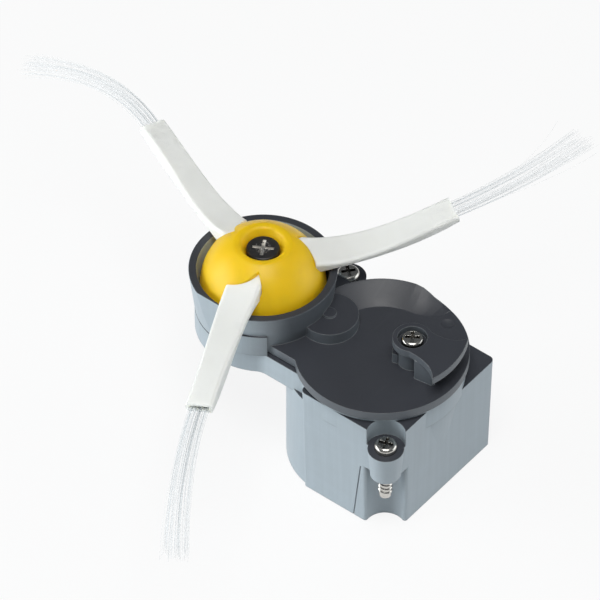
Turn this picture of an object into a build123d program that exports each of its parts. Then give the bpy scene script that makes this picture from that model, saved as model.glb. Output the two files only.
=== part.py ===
import os
from math import acos, atan2, cos, degrees, hypot, pi, radians, sin, sqrt, tan

from build123d import *

os.makedirs("parts", exist_ok=True)

# Motor box: the deep drafted block that stands on the base plane
box_length = 26.6
box_width = 38.9
box_draft = 1.25
box_corner = 0.8
round_end_x = -10.0
round_end_inset = 0.45
wall = 1.8
lid_thickness = 1.6
lid_step = 0.8

# Levels of the gear case, each one stacked on the level below it
pan_bottom = 27.8
pan_floor = 1.6
box_ledge = pan_bottom + 1.7
front_step_y = -4.0
front_ledge = pan_bottom + 5.4
seam = pan_bottom + 6.5
plate_rise = 2.7
plate_top = seam + plate_rise
plate_thickness = 1.8
cup_floor_under = seam + 5.5
cup_floor_top = cup_floor_under + 1.5
rim_height = 5.3
rim_top = cup_floor_top + rim_height

# Round gear case beside the ring
case_x = -5.0
case_proud = 0.75
case_radius = box_width / 2 + case_proud
cover_overhang = 0.9
cover_radius = case_radius + cover_overhang
fairing_inset = 2.6
fairing_foot_radius = case_radius - fairing_inset
fairing_foot = 5.0

# Ring round the brush
brush_x = -38.4
brush_y = -3.7
ring_rim_radius = 18.0
ring_foot_radius = 16.6
ring_wall = 1.95
cup_relief = 0.2
ring_flat_y = -20.2
neck_front_y = -17.0
neck_back_y = 13.0
neck_start_x = -36.0
neck_end_x = -8.0
lip_inset = 1.2
skirt_radius = 17.9
skirt_height = 6.2
skirt_start = -92.0
skirt_sweep = 44.0

# Gear train: module, teeth and levels
output_module = 0.8
output_teeth = 34
second_module = 0.6
second_teeth = 34
first_module = 0.5
first_teeth = 30
pinion_teeth = 12
motor_teeth = 10
pressure_angle = 25.0
addendum = 0.8
dedendum = 1.05
tooth_thinning = 0.12
flank_steps = 3
gear_end_gap = 0.35
low_level = pan_bottom + pan_floor + 0.6
low_face = 2.2
middle_level = low_level + low_face + 0.4
middle_face = 2.0
high_level = middle_level + middle_face + 1.3
high_face = 3.0
second_axis_angle = 8.5
axle_radius = 1.0
axle_post_wall = 1.2
axle_socket = 1.0
web_depth = 0.7
rim_width = 2.3
gear_hub_radius = 3.8
running_gap = 0.05

# Motor
motor_x = 0.0
motor_y = 7.0
can_radius = 10.05
can_flats = 15.1
can_wall = 0.6
rib_spread = 6.0
rib_length = 3.8
rib_lift = 2.0
can_foot = 8.2
cap_foot = 3.0
bush_radius = 3.1
bush_height = 1.2
shaft_radius = 1.0
shaft_top = middle_level + middle_face + 0.2
shaft_foot = 3.9
shaft_edge = 0.2
pole_count = 3
pole_radius = 6.7
pole_gap = 0.9
pole_gap_length = 2.4
pole_gap_inset = 0.8
core_foot = 11.5
core_top = 22.5
winding_overhang = 1.0
magnet_overhang = 1.0
magnet_inner = 7.2
slot_reach = 4.2
slot_radius = 1.5
commutator_radius = 2.4
commutator_gap = 0.6
pinion_sink = 0.3
pinion_excess = 0.4
contact_x = 6.0
contact_width = 5.0
contact_length = 7.0
contact_thickness = 0.5
contact_recess = 0.3
contact_leg_y = -3.0
terminal_width = 2.4
terminal_length = 3.0
terminal_y = -1.25
terminal_height = 5.4

# Spindle and hub
journal_radius = 2.0
journal_wall = 2.0
seat_radius = 2.5
bush_bore_radius = 3.0
spindle_bush_radius = 4.6
post_side = 4.1
post_gap = 0.02
spindle_foot = 29.2
spindle_thread_radius = 1.5
spindle_thread_depth = 6.5
seal_thickness = 0.6
seal_radius = 6.4
seal_bore_gap = 0.4
dome_radius = 15.3
dome_foot = cup_floor_top + 0.7
dome_centre = dome_foot - 0.8
dome_height = 12.8
dome_top = dome_foot + dome_height
dome_shell = 2.0
hub_core_radius = 6.4
crater_radius = 5.5
crater_depth = 2.4
crater_edge = 1.0
brush_head_edge = 0.5
brush_head_radius = 4.05
brush_head_height = 2.9
screw_sink = 1.3
screw_well_radius = brush_head_radius + 0.25
screw_seat = dome_top - screw_sink - brush_head_height
post_top = screw_seat - 1.6
brush_screw_length = 7.0
cross_turn = 30.0

# Arms and tufts
arm_angle = 46.0
arm_spacing = 120.0
arm_width = 7.4
arm_root_width = 8.6
arm_end_width = 6.8
arm_thickness = 2.5
arm_corner = arm_thickness / 3
arm_root_thickness = 7.4
arm_pitch = 8.0
arm_root_reach = 6.0
arm_root_height = rim_top + 2.9
arm_neck_reach = 14.0
arm_neck_height = rim_top + 2.7
arm_neck_thickness = 3.2
arm_mid_reach = 30.0
notch_tip_reach = 8.1
notch_tip_side = 2.3
notch_mid_reach = 10.9
notch_mid_side = -0.2
notch_hood_reach = 12.2
notch_hood_side = -3.9
notch_wall_reach = 11.1
notch_wall_side = 4.4
right_mid_turn = 3.7
right_mid_height = rim_top + 3.9
right_end_reach = 47.5
right_end_turn = 7.6
right_end_height = rim_top + 7.4
left_mid_turn = -2.3
left_mid_height = rim_top + 3.9
left_end_reach = 49.0
left_end_turn = -3.8
left_end_height = rim_top + 7.4
front_mid_turn = 3.7
front_mid_height = rim_top + 2.7
front_end_reach = 50.5
front_end_turn = 5.4
front_end_height = rim_top + 2.0
tip_reach = 86.5
right_tip_turn = 19.0
right_tip_height = rim_top + 5.4
left_tip_turn = 5.0
left_tip_height = rim_top + 5.4
front_tip_turn = 9.0
front_tip_height = rim_top - 10.6
tuft_root = 4.0
tuft_width = 5.0
tuft_thickness = 1.3
tuft_tip_width = 6.8
tuft_tip_thickness = 1.0
strand_count = 9
strand_width = 0.42
tuft_stations = 6

# Fasteners
screw_head_radius = 2.7
screw_head_height = 1.9
screw_thread_radius = 1.45
screw_length = 16.3
screw_neck_radius = 1.15
screw_neck_length = 8.9
screw_hole_gap = 0.15
cross_span = 1.3
cross_slot = 0.85
cross_depth = 1.1
thread_edge = 0.35
front_screw_turn = 20.0
back_screw_turn = 50.0
cover_screw_turn = 35.0
front_screw_x = box_length / 2 - 2.6
front_screw_y = 1.15 - box_width / 2
front_seat = pan_bottom + 0.2
back_screw_x = -28.0
back_screw_y = 16.2
lug_top_radius = 4.4
lug_foot_radius = 3.7
lug_depth = 8.6
lug_pocket_radius = 4.7
groove_radius = 5.0
groove_edge = 0.7
line_top_x = 4.2
line_foot_x = 1.9
line_top = 18.8
line_width = 0.25
line_depth = 0.3
draft_room = 2.0
cover_screw_x = 2.9
cover_screw_y = 1.7
cover_screw_length = 10.5
boss_radius = 4.8
boss_post_radius = 3.5
boss_top = plate_top + 7.9
boss_recess_radius = 3.6
boss_seat = boss_top - 1.8
post_radius = 2.7
arm_plate_thickness = 2.0
swoosh_start = -17.0
swoosh_end = 28.0
swoosh_radius = cover_radius - 0.2
hook_wall = 1.2
hook_sink = 0.2
hook_start_x = 6.6
hook_start_y = -2.2
hook_end_x = 12.1
hook_end_y = -1.4
catch_angle = 200.0
catch_width = 4.4
catch_height = 3.2
swoosh_front_angle = -62.0
swoosh_back_angle = 62.0
swoosh_near = 5.3
swoosh_far = 8.9
swoosh_back_near = 4.4
swoosh_back_far = 5.9
swoosh_front_near = 4.3
swoosh_front_far = 5.2
neck_blend = 5.0
ring_edge = 0.18
rise_inner_radius = 13.6
rise_height = 3.4
rise_low = 0.1
rise_edge = 0.8
rise_start = 104.0
rise_sweep = 64.0
rise_fade = 28.0
fade_steps = 5
seam_line = 0.3
seam_inset = 0.5
case_screw_x = -25.8
case_screw_y = -14.0
case_screw_length = 7.0
case_head_radius = 1.9
case_head_height = 1.4
case_thread_radius = 1.1
case_post_radius = 1.7
case_head_gap = 0.2
bump_radius = 7.1
bump_wall = 1.2
bump_roof = 0.9
dimple_x = 2.1
dimple_y = 16.5
dimple_round = 4.0
dimple_depth = 0.35
bump_top = plate_top + 3.2
axle_boss_radius = 1.7
axle_boss_top = bump_top + 0.5


def polar(x, y, radius, angle):
    return (x + radius * cos(radians(angle)), y + radius * sin(radians(angle)))


def involute(angle):
    return tan(angle) - angle


def gear_outline(teeth, module):
    pitch = module * teeth / 2
    base = pitch * cos(radians(pressure_angle))
    tip = pitch + addendum * module
    root = pitch - dedendum * module
    half = pi / (2 * teeth) - tooth_thinning / (2 * pitch) + involute(radians(pressure_angle))
    start = max(base, root)
    flank = []
    if root < base:
        flank.append((root, half))
    for step in range(flank_steps + 1):
        radius = start + (tip - start) * step / flank_steps
        flank.append((radius, half - involute(acos(min(1.0, base / radius)))))
    points = []
    for tooth in range(teeth):
        middle = 2 * pi * tooth / teeth
        for radius, offset in flank:
            points.append((radius * cos(middle - offset), radius * sin(middle - offset)))
        for radius, offset in reversed(flank):
            points.append((radius * cos(middle + offset), radius * sin(middle + offset)))
    return points


def facing(centre, level, mate, turn=0.0):
    heading = atan2(mate[1] - centre[1], mate[0] - centre[0]) + radians(turn)
    return Plane(
        origin=(centre[0], centre[1], level),
        x_dir=(cos(heading), sin(heading), 0),
        z_dir=(0, 0, 1),
    )


def level_plane(x, y, height):
    return Plane(origin=(x, y, height), x_dir=(1, 0, 0), z_dir=(0, 0, 1))


def rise_plane(angle):
    return Plane(
        origin=(case_x, 0, 0),
        x_dir=(cos(radians(angle)), sin(radians(angle)), 0),
        z_dir=(sin(radians(angle)), -cos(radians(angle)), 0),
    )


def rise_profile(height):
    return [
        (rise_inner_radius, plate_top - seam_line),
        (cover_radius, plate_top - seam_line),
        (cover_radius, plate_top + height / 3),
        (cover_radius - rise_edge, plate_top + height),
    ]


# Axes of the train, from the brush back to the motor
brush_axis = (brush_x, brush_y)
motor_axis = (motor_x, motor_y)
output_distance = output_module * (output_teeth + pinion_teeth) / 2
second_distance = second_module * (second_teeth + pinion_teeth) / 2
first_distance = first_module * (first_teeth + motor_teeth) / 2
second_axis = polar(brush_x, brush_y, output_distance, second_axis_angle)
span = hypot(motor_x - second_axis[0], motor_y - second_axis[1])
span_heading = degrees(atan2(motor_y - second_axis[1], motor_x - second_axis[0]))
span_part = (span**2 + second_distance**2 - first_distance**2) / (2 * span)
span_turn = degrees(acos(span_part / second_distance))
first_axis = polar(second_axis[0], second_axis[1], second_distance, span_heading + span_turn)
plate_under = plate_top - plate_thickness
floor_top = pan_bottom + pan_floor
axle_foot = pan_bottom + pan_floor / 4
rib_y = motor_y + can_flats / 2 + rib_length / 2
cup_slope = (ring_rim_radius - ring_foot_radius) / (rim_top - seam)
first_axle_top = plate_under + axle_socket
second_axle_top = bump_top - 0.3
round_end_radius = box_width / 2 - round_end_inset
output_web = output_module * output_teeth / 2 - rim_width
second_web = second_module * second_teeth / 2 - rim_width + 0.5
hook_length = hypot(hook_end_x - hook_start_x, hook_end_y - hook_start_y)
notch_tip = (notch_tip_reach, notch_tip_side)
notch_mid = (notch_mid_reach, notch_mid_side)
notch_hood = (notch_hood_reach, notch_hood_side)
notch_wall = (notch_wall_reach, notch_wall_side)
catch_mate = polar(cover_screw_x, cover_screw_y, boss_radius, catch_angle)
ring_corner_x = brush_x + sqrt(ring_foot_radius**2 - (neck_front_y - brush_y) ** 2)
lip_front_y = neck_front_y + lip_inset
contact_pad_y = contact_leg_y - contact_length / 2 + contact_thickness / 2

# Lower housing: motor box, gear pan and screw lugs in one moulding
with BuildPart() as lower_housing:
    with BuildSketch():
        RectangleRounded(box_length, box_width, box_corner)
    extrude(amount=front_ledge, taper=-box_draft)
    with BuildSketch(Plane.XY.offset(box_ledge)):
        with Locations((0, front_step_y)):
            Rectangle(2 * box_length, box_width, align=(Align.CENTER, Align.MIN))
    extrude(amount=front_ledge, mode=Mode.SUBTRACT)
    with BuildSketch():
        with Locations((round_end_x, 0)):
            Circle(round_end_radius)
    extrude(amount=pan_bottom + pan_floor / 2)
    with BuildSketch(Plane.XZ):
        with BuildLine():
            Polyline(
                (case_x, fairing_foot),
                (case_x + fairing_foot_radius, fairing_foot),
                (case_x + case_radius, seam),
                (case_x, seam),
                close=True,
            )
        make_face()
    revolve(axis=Axis((case_x, 0, 0), (0, 0, 1)), revolution_arc=90)
    with BuildSketch(Plane.XZ):
        with BuildLine():
            Polyline(
                (case_x, fairing_foot),
                (case_x + fairing_foot_radius, fairing_foot),
                (case_x + case_radius, seam),
                (case_x, seam),
                close=True,
            )
        make_face()
    revolve(axis=Axis((case_x, 0, 0), (0, 0, 1)), revolution_arc=-90)
    with BuildSketch(Plane.XY.offset(pan_bottom)):
        with Locations((case_x, 0)):
            Circle(case_radius)
        with Locations(brush_axis):
            Circle(ring_foot_radius)
        with Locations(((neck_start_x + neck_end_x) / 2, (neck_front_y + neck_back_y) / 2)):
            Rectangle(neck_end_x - neck_start_x, neck_back_y - neck_front_y)
        fillet(vertices().sort_by_distance((ring_corner_x, neck_front_y))[0], neck_blend)
    extrude(amount=seam - pan_bottom)
    # Corner groove under the front lug, then both lugs
    with BuildSketch():
        with Locations((front_screw_x, front_screw_y)):
            Circle(groove_radius)
    extrude(amount=front_seat - lug_depth, mode=Mode.SUBTRACT)
    lip_reach = sqrt(groove_radius**2 - (box_width / 2 + front_screw_y) ** 2)
    lip_width = sqrt(groove_radius**2 - (box_length / 2 - front_screw_x) ** 2)
    left_lip = (front_screw_x - lip_reach, -box_width / 2, (front_seat - lug_depth) / 2)
    right_lip = (box_length / 2, front_screw_y + lip_width, (front_seat - lug_depth) / 2)
    fillet(
        [lower_housing.edges().sort_by_distance(lip)[0] for lip in (left_lip, right_lip)],
        groove_edge,
    )
    # Fine slanted line beside the groove
    with BuildSketch(Plane.XZ.offset(box_width / 2 - line_depth)):
        with BuildLine():
            Polyline(
                (line_top_x, line_top),
                (line_top_x + line_width, line_top),
                (line_foot_x + line_width, 0),
                (line_foot_x, 0),
                close=True,
            )
        make_face()
    extrude(amount=draft_room, mode=Mode.SUBTRACT)
    with Locations((front_screw_x, front_screw_y, front_seat - lug_depth)):
        Cone(lug_foot_radius, lug_top_radius, lug_depth, align=(Align.CENTER, Align.CENTER, Align.MIN))
    with Locations((back_screw_x, back_screw_y, seam - lug_depth)):
        Cone(lug_foot_radius, lug_top_radius, lug_depth, align=(Align.CENTER, Align.CENTER, Align.MIN))
    with BuildSketch(Plane.XY.offset(front_seat)):
        with Locations((front_screw_x, front_screw_y)):
            Circle(lug_pocket_radius)
    extrude(amount=seam, mode=Mode.SUBTRACT)
    # Motor bay, open below
    with BuildSketch():
        Rectangle(box_length - 2 * wall, box_width - 2 * wall)
        with Locations((round_end_x, 0)):
            Circle(round_end_radius - wall)
        with Locations((front_screw_x, front_screw_y)):
            Circle(groove_radius + wall, mode=Mode.SUBTRACT)
    extrude(amount=pan_bottom, mode=Mode.SUBTRACT)
    with BuildSketch():
        Rectangle(box_length - 2 * wall + 2 * lid_step, box_width - 2 * wall + 2 * lid_step)
        with Locations((round_end_x, 0)):
            Circle(round_end_radius - wall + lid_step)
        with Locations((front_screw_x, front_screw_y)):
            Circle(groove_radius + wall - lid_step, mode=Mode.SUBTRACT)
    extrude(amount=lid_thickness, mode=Mode.SUBTRACT)
    # Gear chamber, open above
    with BuildSketch(Plane.XY.offset(floor_top)):
        with Locations((case_x, 0)):
            Circle(case_radius - wall)
        with Locations(brush_axis):
            Circle(ring_foot_radius - wall)
        with Locations(((neck_start_x + neck_end_x) / 2, (neck_front_y + neck_back_y) / 2)):
            Rectangle(neck_end_x - neck_start_x, neck_back_y - neck_front_y - 2 * wall)
    extrude(amount=seam, mode=Mode.SUBTRACT)
    # Ribs that hold the flats of the motor can
    with BuildSketch(Plane.XY.offset(can_foot + rib_lift)):
        with Locations((motor_x - rib_spread, rib_y), (motor_x + rib_spread, rib_y)):
            Rectangle(wall, rib_length)
        with Locations((motor_x, motor_y - can_flats / 2 - wall / 2)):
            Rectangle(box_length - 2 * wall, wall)
    extrude(until=Until.NEXT)
    # Posts for the spindle, the axles and the two case screws
    with BuildSketch(Plane.XY.offset(floor_top)):
        with Locations(brush_axis):
            Circle(journal_radius + journal_wall)
    extrude(amount=high_level - gear_end_gap - floor_top)
    with BuildSketch(Plane.XY.offset(floor_top)):
        with Locations(second_axis, first_axis):
            Circle(axle_radius + axle_post_wall)
    extrude(amount=low_level - gear_end_gap - floor_top)
    with BuildSketch(Plane.XY.offset(floor_top)):
        with Locations((cover_screw_x, cover_screw_y)):
            Circle(post_radius)
    extrude(amount=plate_under - floor_top)
    with BuildSketch(Plane.XY.offset(floor_top)):
        with Locations((case_screw_x, case_screw_y)):
            Circle(case_post_radius)
    extrude(amount=seam - floor_top)
    # Bores
    with Locations((brush_x, brush_y, pan_bottom + pan_floor / 2)):
        Cylinder(
            journal_radius + running_gap,
            seam,
            align=(Align.CENTER, Align.CENTER, Align.MIN),
            mode=Mode.SUBTRACT,
        )
    with BuildSketch(Plane.XY.offset(axle_foot)):
        with Locations(second_axis, first_axis):
            Circle(axle_radius)
    extrude(amount=seam, mode=Mode.SUBTRACT)
    with BuildSketch(Plane.XY.offset(pan_bottom - 1)):
        with Locations(motor_axis):
            Circle(bush_radius)
    extrude(amount=pan_floor + 2, mode=Mode.SUBTRACT)
    with BuildSketch(Plane.XY.offset(front_seat - lug_depth - 1)):
        with Locations((front_screw_x, front_screw_y), (back_screw_x, back_screw_y)):
            Circle(screw_thread_radius + screw_hole_gap)
    extrude(amount=seam, mode=Mode.SUBTRACT)
    with BuildSketch(Plane.XY.offset(boss_seat - cover_screw_length)):
        with Locations((cover_screw_x, cover_screw_y)):
            Circle(screw_thread_radius)
    extrude(amount=seam, mode=Mode.SUBTRACT)
    with BuildSketch(Plane.XY.offset(pan_bottom)):
        with Locations((case_screw_x, case_screw_y)):
            Circle(case_thread_radius + screw_hole_gap)
    extrude(amount=seam, mode=Mode.SUBTRACT)
    # Room below the pan for the screw's head and its driver
    with BuildSketch():
        with Locations((case_screw_x, case_screw_y)):
            Circle(case_head_radius + case_head_gap)
    extrude(amount=pan_bottom, mode=Mode.SUBTRACT)
lower_housing.part.label = "lower_housing"
export_step(lower_housing.part, "parts/lower_housing.step")

# Upper cover: round plate, conical cup, bump over the second axle, swoosh arm
with BuildPart() as upper_cover:
    with BuildSketch(Plane.XY.offset(seam)):
        with Locations((case_x, 0)):
            Circle(case_radius - seam_inset)
        with Locations(brush_axis):
            Circle(ring_foot_radius - seam_inset)
        with Locations(((neck_start_x + neck_end_x) / 2, (lip_front_y + neck_back_y) / 2)):
            Rectangle(neck_end_x - neck_start_x, neck_back_y - lip_front_y - 2 * seam_inset)
    extrude(amount=plate_top - seam)
    with BuildSketch(Plane.XY.offset(seam + seam_line)):
        with Locations((case_x, 0)):
            Circle(cover_radius)
        with Locations(brush_axis):
            Circle(ring_foot_radius)
        with Locations(((neck_start_x + neck_end_x) / 2, (lip_front_y + neck_back_y) / 2)):
            Rectangle(neck_end_x - neck_start_x, neck_back_y - lip_front_y)
    extrude(amount=plate_top - seam - seam_line)
    with BuildSketch(rise_plane(rise_start)):
        with BuildLine():
            Polyline(rise_profile(rise_height), close=True)
        make_face()
    revolve(axis=Axis((case_x, 0, 0), (0, 0, 1)), revolution_arc=rise_sweep)
    for step in range(fade_steps + 1):
        share = step / fade_steps
        height = rise_low + (rise_height - rise_low) * (1 + cos(radians(180 * share))) / 2
        with BuildSketch(rise_plane(rise_start - rise_fade * share)):
            with BuildLine():
                Polyline(rise_profile(height), close=True)
            make_face()
    loft(ruled=True)
    with Locations((brush_x, brush_y, seam + seam_line)):
        Cone(
            ring_foot_radius,
            ring_rim_radius,
            rim_top - seam - seam_line,
            align=(Align.CENTER, Align.CENTER, Align.MIN),
        )
    # Bump with the end of the second axle showing as a small boss
    with BuildSketch(Plane.XY.offset(plate_top)):
        with Locations(second_axis):
            Circle(bump_radius)
    extrude(amount=bump_top - plate_top)
    with BuildSketch(Plane.XY.offset(plate_top)):
        with Locations(second_axis):
            Circle(axle_boss_radius)
    extrude(amount=axle_boss_top - plate_top)
    # Screw post with a wider flange, which runs out into the swoosh
    with BuildSketch(Plane.XY.offset(plate_under)):
        with Locations((cover_screw_x, cover_screw_y)):
            Circle(boss_post_radius)
    extrude(amount=boss_top - arm_plate_thickness - plate_under)
    with BuildSketch(Plane.XY.offset(boss_top - arm_plate_thickness)):
        with Locations((cover_screw_x, cover_screw_y)):
            Circle(boss_radius)
    extrude(amount=arm_plate_thickness)
    with BuildSketch(Plane.XY.offset(boss_top - arm_plate_thickness)):
        with BuildLine():
            rim_start = polar(case_x, 0, swoosh_radius, swoosh_start)
            rim_end = polar(case_x, 0, swoosh_radius, swoosh_end)
            boss_front = polar(cover_screw_x, cover_screw_y, boss_radius, swoosh_front_angle)
            boss_back = polar(cover_screw_x, cover_screw_y, boss_radius, swoosh_back_angle)
            ThreePointArc(
                rim_start,
                polar(case_x, 0, swoosh_radius, (swoosh_start + swoosh_end) / 2),
                rim_end,
            )
            Spline(
                rim_end,
                (cover_screw_x + swoosh_far, cover_screw_y + swoosh_back_far),
                (cover_screw_x + swoosh_near, cover_screw_y + swoosh_back_near),
                boss_back,
            )
            Line(boss_back, boss_front)
            Spline(
                boss_front,
                (cover_screw_x + swoosh_near, cover_screw_y - swoosh_front_near),
                (cover_screw_x + swoosh_far, cover_screw_y - swoosh_front_far),
                rim_start,
            )
        make_face()
    extrude(amount=arm_plate_thickness)
    with BuildSketch(facing((hook_start_x, hook_start_y), plate_top - hook_sink, (hook_end_x, hook_end_y))):
        with Locations((hook_length / 2, 0)):
            SlotOverall(hook_length, hook_wall)
    extrude(amount=boss_top - arm_plate_thickness - plate_top + 2 * hook_sink)
    # Upright catch beside the post
    with BuildSketch(facing((cover_screw_x, cover_screw_y), plate_top - hook_sink, catch_mate)):
        Circle(boss_radius)
        Circle(boss_radius - hook_wall, mode=Mode.SUBTRACT)
        with Locations((boss_radius, 0)):
            Rectangle(boss_radius, catch_width, mode=Mode.INTERSECT)
    extrude(amount=catch_height)
    # Shallow dimple in the back of the plate
    with Locations((dimple_x, dimple_y, plate_top + dimple_round - dimple_depth)):
        Sphere(dimple_round, mode=Mode.SUBTRACT)
    # Flat on the ring
    with BuildSketch(Plane.XY.offset(seam)):
        with Locations((brush_x, ring_flat_y)):
            Rectangle(2 * ring_rim_radius, ring_rim_radius, align=(Align.CENTER, Align.MAX))
    extrude(amount=rim_top, mode=Mode.SUBTRACT)
    # Skirt round the foot of the ring
    with BuildSketch(Plane.XY.offset(seam + seam_line)):
        with BuildLine():
            foot = CenterArc(brush_axis, skirt_radius, skirt_start, skirt_sweep)
            Line(foot @ 1, brush_axis)
            Line(brush_axis, foot @ 0)
        make_face()
    extrude(amount=skirt_height)
    # Inside of the cup
    with Locations((brush_x, brush_y, cup_floor_top)):
        Cone(
            ring_rim_radius - ring_wall - (rim_top - cup_floor_top) * cup_slope,
            ring_rim_radius - ring_wall,
            rim_top - cup_floor_top,
            align=(Align.CENTER, Align.CENTER, Align.MIN),
            mode=Mode.SUBTRACT,
        )
    # Gear chamber, open below
    with BuildSketch(Plane.XY.offset(seam)):
        with Locations((case_x, 0)):
            Circle(case_radius - wall)
        with Locations(brush_axis):
            Circle(ring_foot_radius - wall)
        with Locations(((neck_start_x + neck_end_x) / 2, (lip_front_y + neck_back_y) / 2)):
            Rectangle(neck_end_x - neck_start_x, neck_back_y - lip_front_y - 2 * wall)
    extrude(amount=plate_under - seam, mode=Mode.SUBTRACT)
    with BuildSketch(Plane.XY.offset(seam)):
        with Locations(brush_axis):
            Circle(ring_foot_radius - wall + cup_relief)
    extrude(amount=cup_floor_under - seam, mode=Mode.SUBTRACT)
    with BuildSketch(Plane.XY.offset(seam)):
        with Locations(second_axis):
            Circle(bump_radius - bump_wall)
    extrude(amount=bump_top - bump_roof - seam, mode=Mode.SUBTRACT)
    with BuildSketch(Plane.XY.offset(seam)):
        with Locations((case_screw_x, case_screw_y)):
            Circle(case_post_radius)
    extrude(amount=plate_top - seam)
    # Screw bores, axle sockets and the bush seat
    with BuildSketch(Plane.XY.offset(boss_seat)):
        with Locations((cover_screw_x, cover_screw_y)):
            Circle(boss_recess_radius)
    extrude(amount=boss_top, mode=Mode.SUBTRACT)
    with BuildSketch(Plane.XY.offset(seam)):
        with Locations((cover_screw_x, cover_screw_y)):
            Circle(screw_thread_radius + screw_hole_gap)
    extrude(amount=boss_top, mode=Mode.SUBTRACT)
    with BuildSketch(Plane.XY.offset(seam)):
        with Locations((case_screw_x, case_screw_y)):
            Circle(case_thread_radius)
    extrude(amount=plate_under - seam, mode=Mode.SUBTRACT)
    with BuildSketch(Plane.XY.offset(seam)):
        with Locations(brush_axis):
            Circle(spindle_bush_radius)
    extrude(amount=rim_top, mode=Mode.SUBTRACT)
    with BuildSketch(Plane.XY.offset(seam)):
        with Locations(first_axis):
            Circle(axle_radius)
    extrude(amount=first_axle_top - seam, mode=Mode.SUBTRACT)
    with BuildSketch(Plane.XY.offset(seam)):
        with Locations(second_axis):
            Circle(axle_radius)
    extrude(amount=second_axle_top - seam, mode=Mode.SUBTRACT)
    fillet(upper_cover.edges().group_by(Axis.Z)[-1], ring_edge)
upper_cover.part.label = "upper_cover"
export_step(upper_cover.part, "parts/upper_cover.step")

# Base lid with two contact plates that reach the motor terminals
with BuildPart() as base_lid:
    with BuildSketch():
        Rectangle(box_length - 2 * wall + 2 * lid_step, box_width - 2 * wall + 2 * lid_step)
        with Locations((round_end_x, 0)):
            Circle(round_end_radius - wall + lid_step)
        with Locations((front_screw_x, front_screw_y)):
            Circle(groove_radius + wall - lid_step, mode=Mode.SUBTRACT)
    extrude(amount=lid_thickness)
    with BuildSketch():
        with Locations((-contact_x, contact_pad_y), (contact_x, contact_pad_y)):
            Rectangle(contact_width, contact_length)
    extrude(amount=contact_recess + contact_thickness, mode=Mode.SUBTRACT)
    with BuildSketch():
        with Locations((-contact_x, contact_leg_y), (contact_x, contact_leg_y)):
            Rectangle(terminal_width, contact_thickness)
    extrude(amount=lid_thickness, mode=Mode.SUBTRACT)
base_lid.part.label = "base_lid"
export_step(base_lid.part, "parts/base_lid.step")

with BuildPart() as contact_plates:
    with BuildSketch(Plane.XY.offset(contact_recess)):
        with Locations((-contact_x, contact_pad_y), (contact_x, contact_pad_y)):
            Rectangle(contact_width, contact_length)
    extrude(amount=contact_thickness)
    with BuildSketch(Plane.XY.offset(contact_recess)):
        with Locations((-contact_x, contact_leg_y), (contact_x, contact_leg_y)):
            Rectangle(terminal_width, contact_thickness)
    extrude(amount=terminal_height + 1 - contact_recess)
contact_plates.part.label = "contact_plates"
export_step(contact_plates.part, "parts/contact_plates.step")

# Motor: flat-sided can, end cap, bush, magnets, terminals
with BuildPart() as motor_can:
    with BuildSketch(level_plane(motor_x, motor_y, can_foot)):
        Circle(can_radius)
        Rectangle(2 * can_radius, can_flats, mode=Mode.INTERSECT)
    extrude(amount=pan_bottom - can_foot)
    with BuildSketch(level_plane(motor_x, motor_y, can_foot)):
        Circle(can_radius - can_wall)
        Rectangle(2 * can_radius, can_flats - 2 * can_wall, mode=Mode.INTERSECT)
    extrude(amount=pan_bottom - can_foot - can_wall, mode=Mode.SUBTRACT)
    with BuildSketch(level_plane(motor_x, motor_y, can_foot)):
        Circle(bush_radius - can_wall)
    extrude(amount=pan_bottom, mode=Mode.SUBTRACT)
motor_can.part.label = "motor_can"
export_step(motor_can.part, "parts/motor_can.step")

with BuildPart() as motor_bush:
    with BuildSketch(level_plane(motor_x, motor_y, pan_bottom)):
        Circle(bush_radius)
    extrude(amount=bush_height)
    with BuildSketch(level_plane(motor_x, motor_y, pan_bottom - 2 * can_wall)):
        Circle(bush_radius - can_wall)
    extrude(amount=2 * can_wall)
    with BuildSketch(level_plane(motor_x, motor_y, can_foot)):
        Circle(shaft_radius + running_gap)
    extrude(amount=pan_bottom, mode=Mode.SUBTRACT)
motor_bush.part.label = "motor_bush"
export_step(motor_bush.part, "parts/motor_bush.step")

with BuildPart() as motor_magnets:
    with BuildSketch(level_plane(motor_x, motor_y, core_foot - magnet_overhang)):
        Circle(can_radius - can_wall)
        Circle(magnet_inner, mode=Mode.SUBTRACT)
        Rectangle(2 * can_radius, can_flats - 5 * can_wall, mode=Mode.INTERSECT)
    extrude(amount=core_top - core_foot + 2 * magnet_overhang)
motor_magnets.part.label = "motor_magnets"
export_step(motor_magnets.part, "parts/motor_magnets.step")

with BuildPart() as motor_end_cap:
    with BuildSketch(level_plane(motor_x, motor_y, cap_foot)):
        Circle(can_radius)
        Rectangle(2 * can_radius, can_flats, mode=Mode.INTERSECT)
    extrude(amount=can_foot - cap_foot)
    with BuildSketch(level_plane(motor_x, motor_y, cap_foot + wall)):
        Circle(can_flats / 2 - wall)
    extrude(amount=can_foot, mode=Mode.SUBTRACT)
    with BuildSketch(level_plane(motor_x, motor_y, shaft_foot - running_gap)):
        Circle(shaft_radius + running_gap)
    extrude(amount=can_foot, mode=Mode.SUBTRACT)
    with BuildSketch(Plane.XY.offset(terminal_height - contact_thickness)):
        with Locations((-contact_x, terminal_y), (contact_x, terminal_y)):
            Rectangle(terminal_width, terminal_length)
    extrude(amount=contact_thickness, mode=Mode.SUBTRACT)
motor_end_cap.part.label = "motor_end_cap"
export_step(motor_end_cap.part, "parts/motor_end_cap.step")

with BuildPart() as motor_terminals:
    with BuildSketch(Plane.XY.offset(terminal_height - contact_thickness)):
        with Locations((-contact_x, terminal_y), (contact_x, terminal_y)):
            Rectangle(terminal_width, terminal_length)
    extrude(amount=contact_thickness)
motor_terminals.part.label = "motor_terminals"
export_step(motor_terminals.part, "parts/motor_terminals.step")

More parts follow.
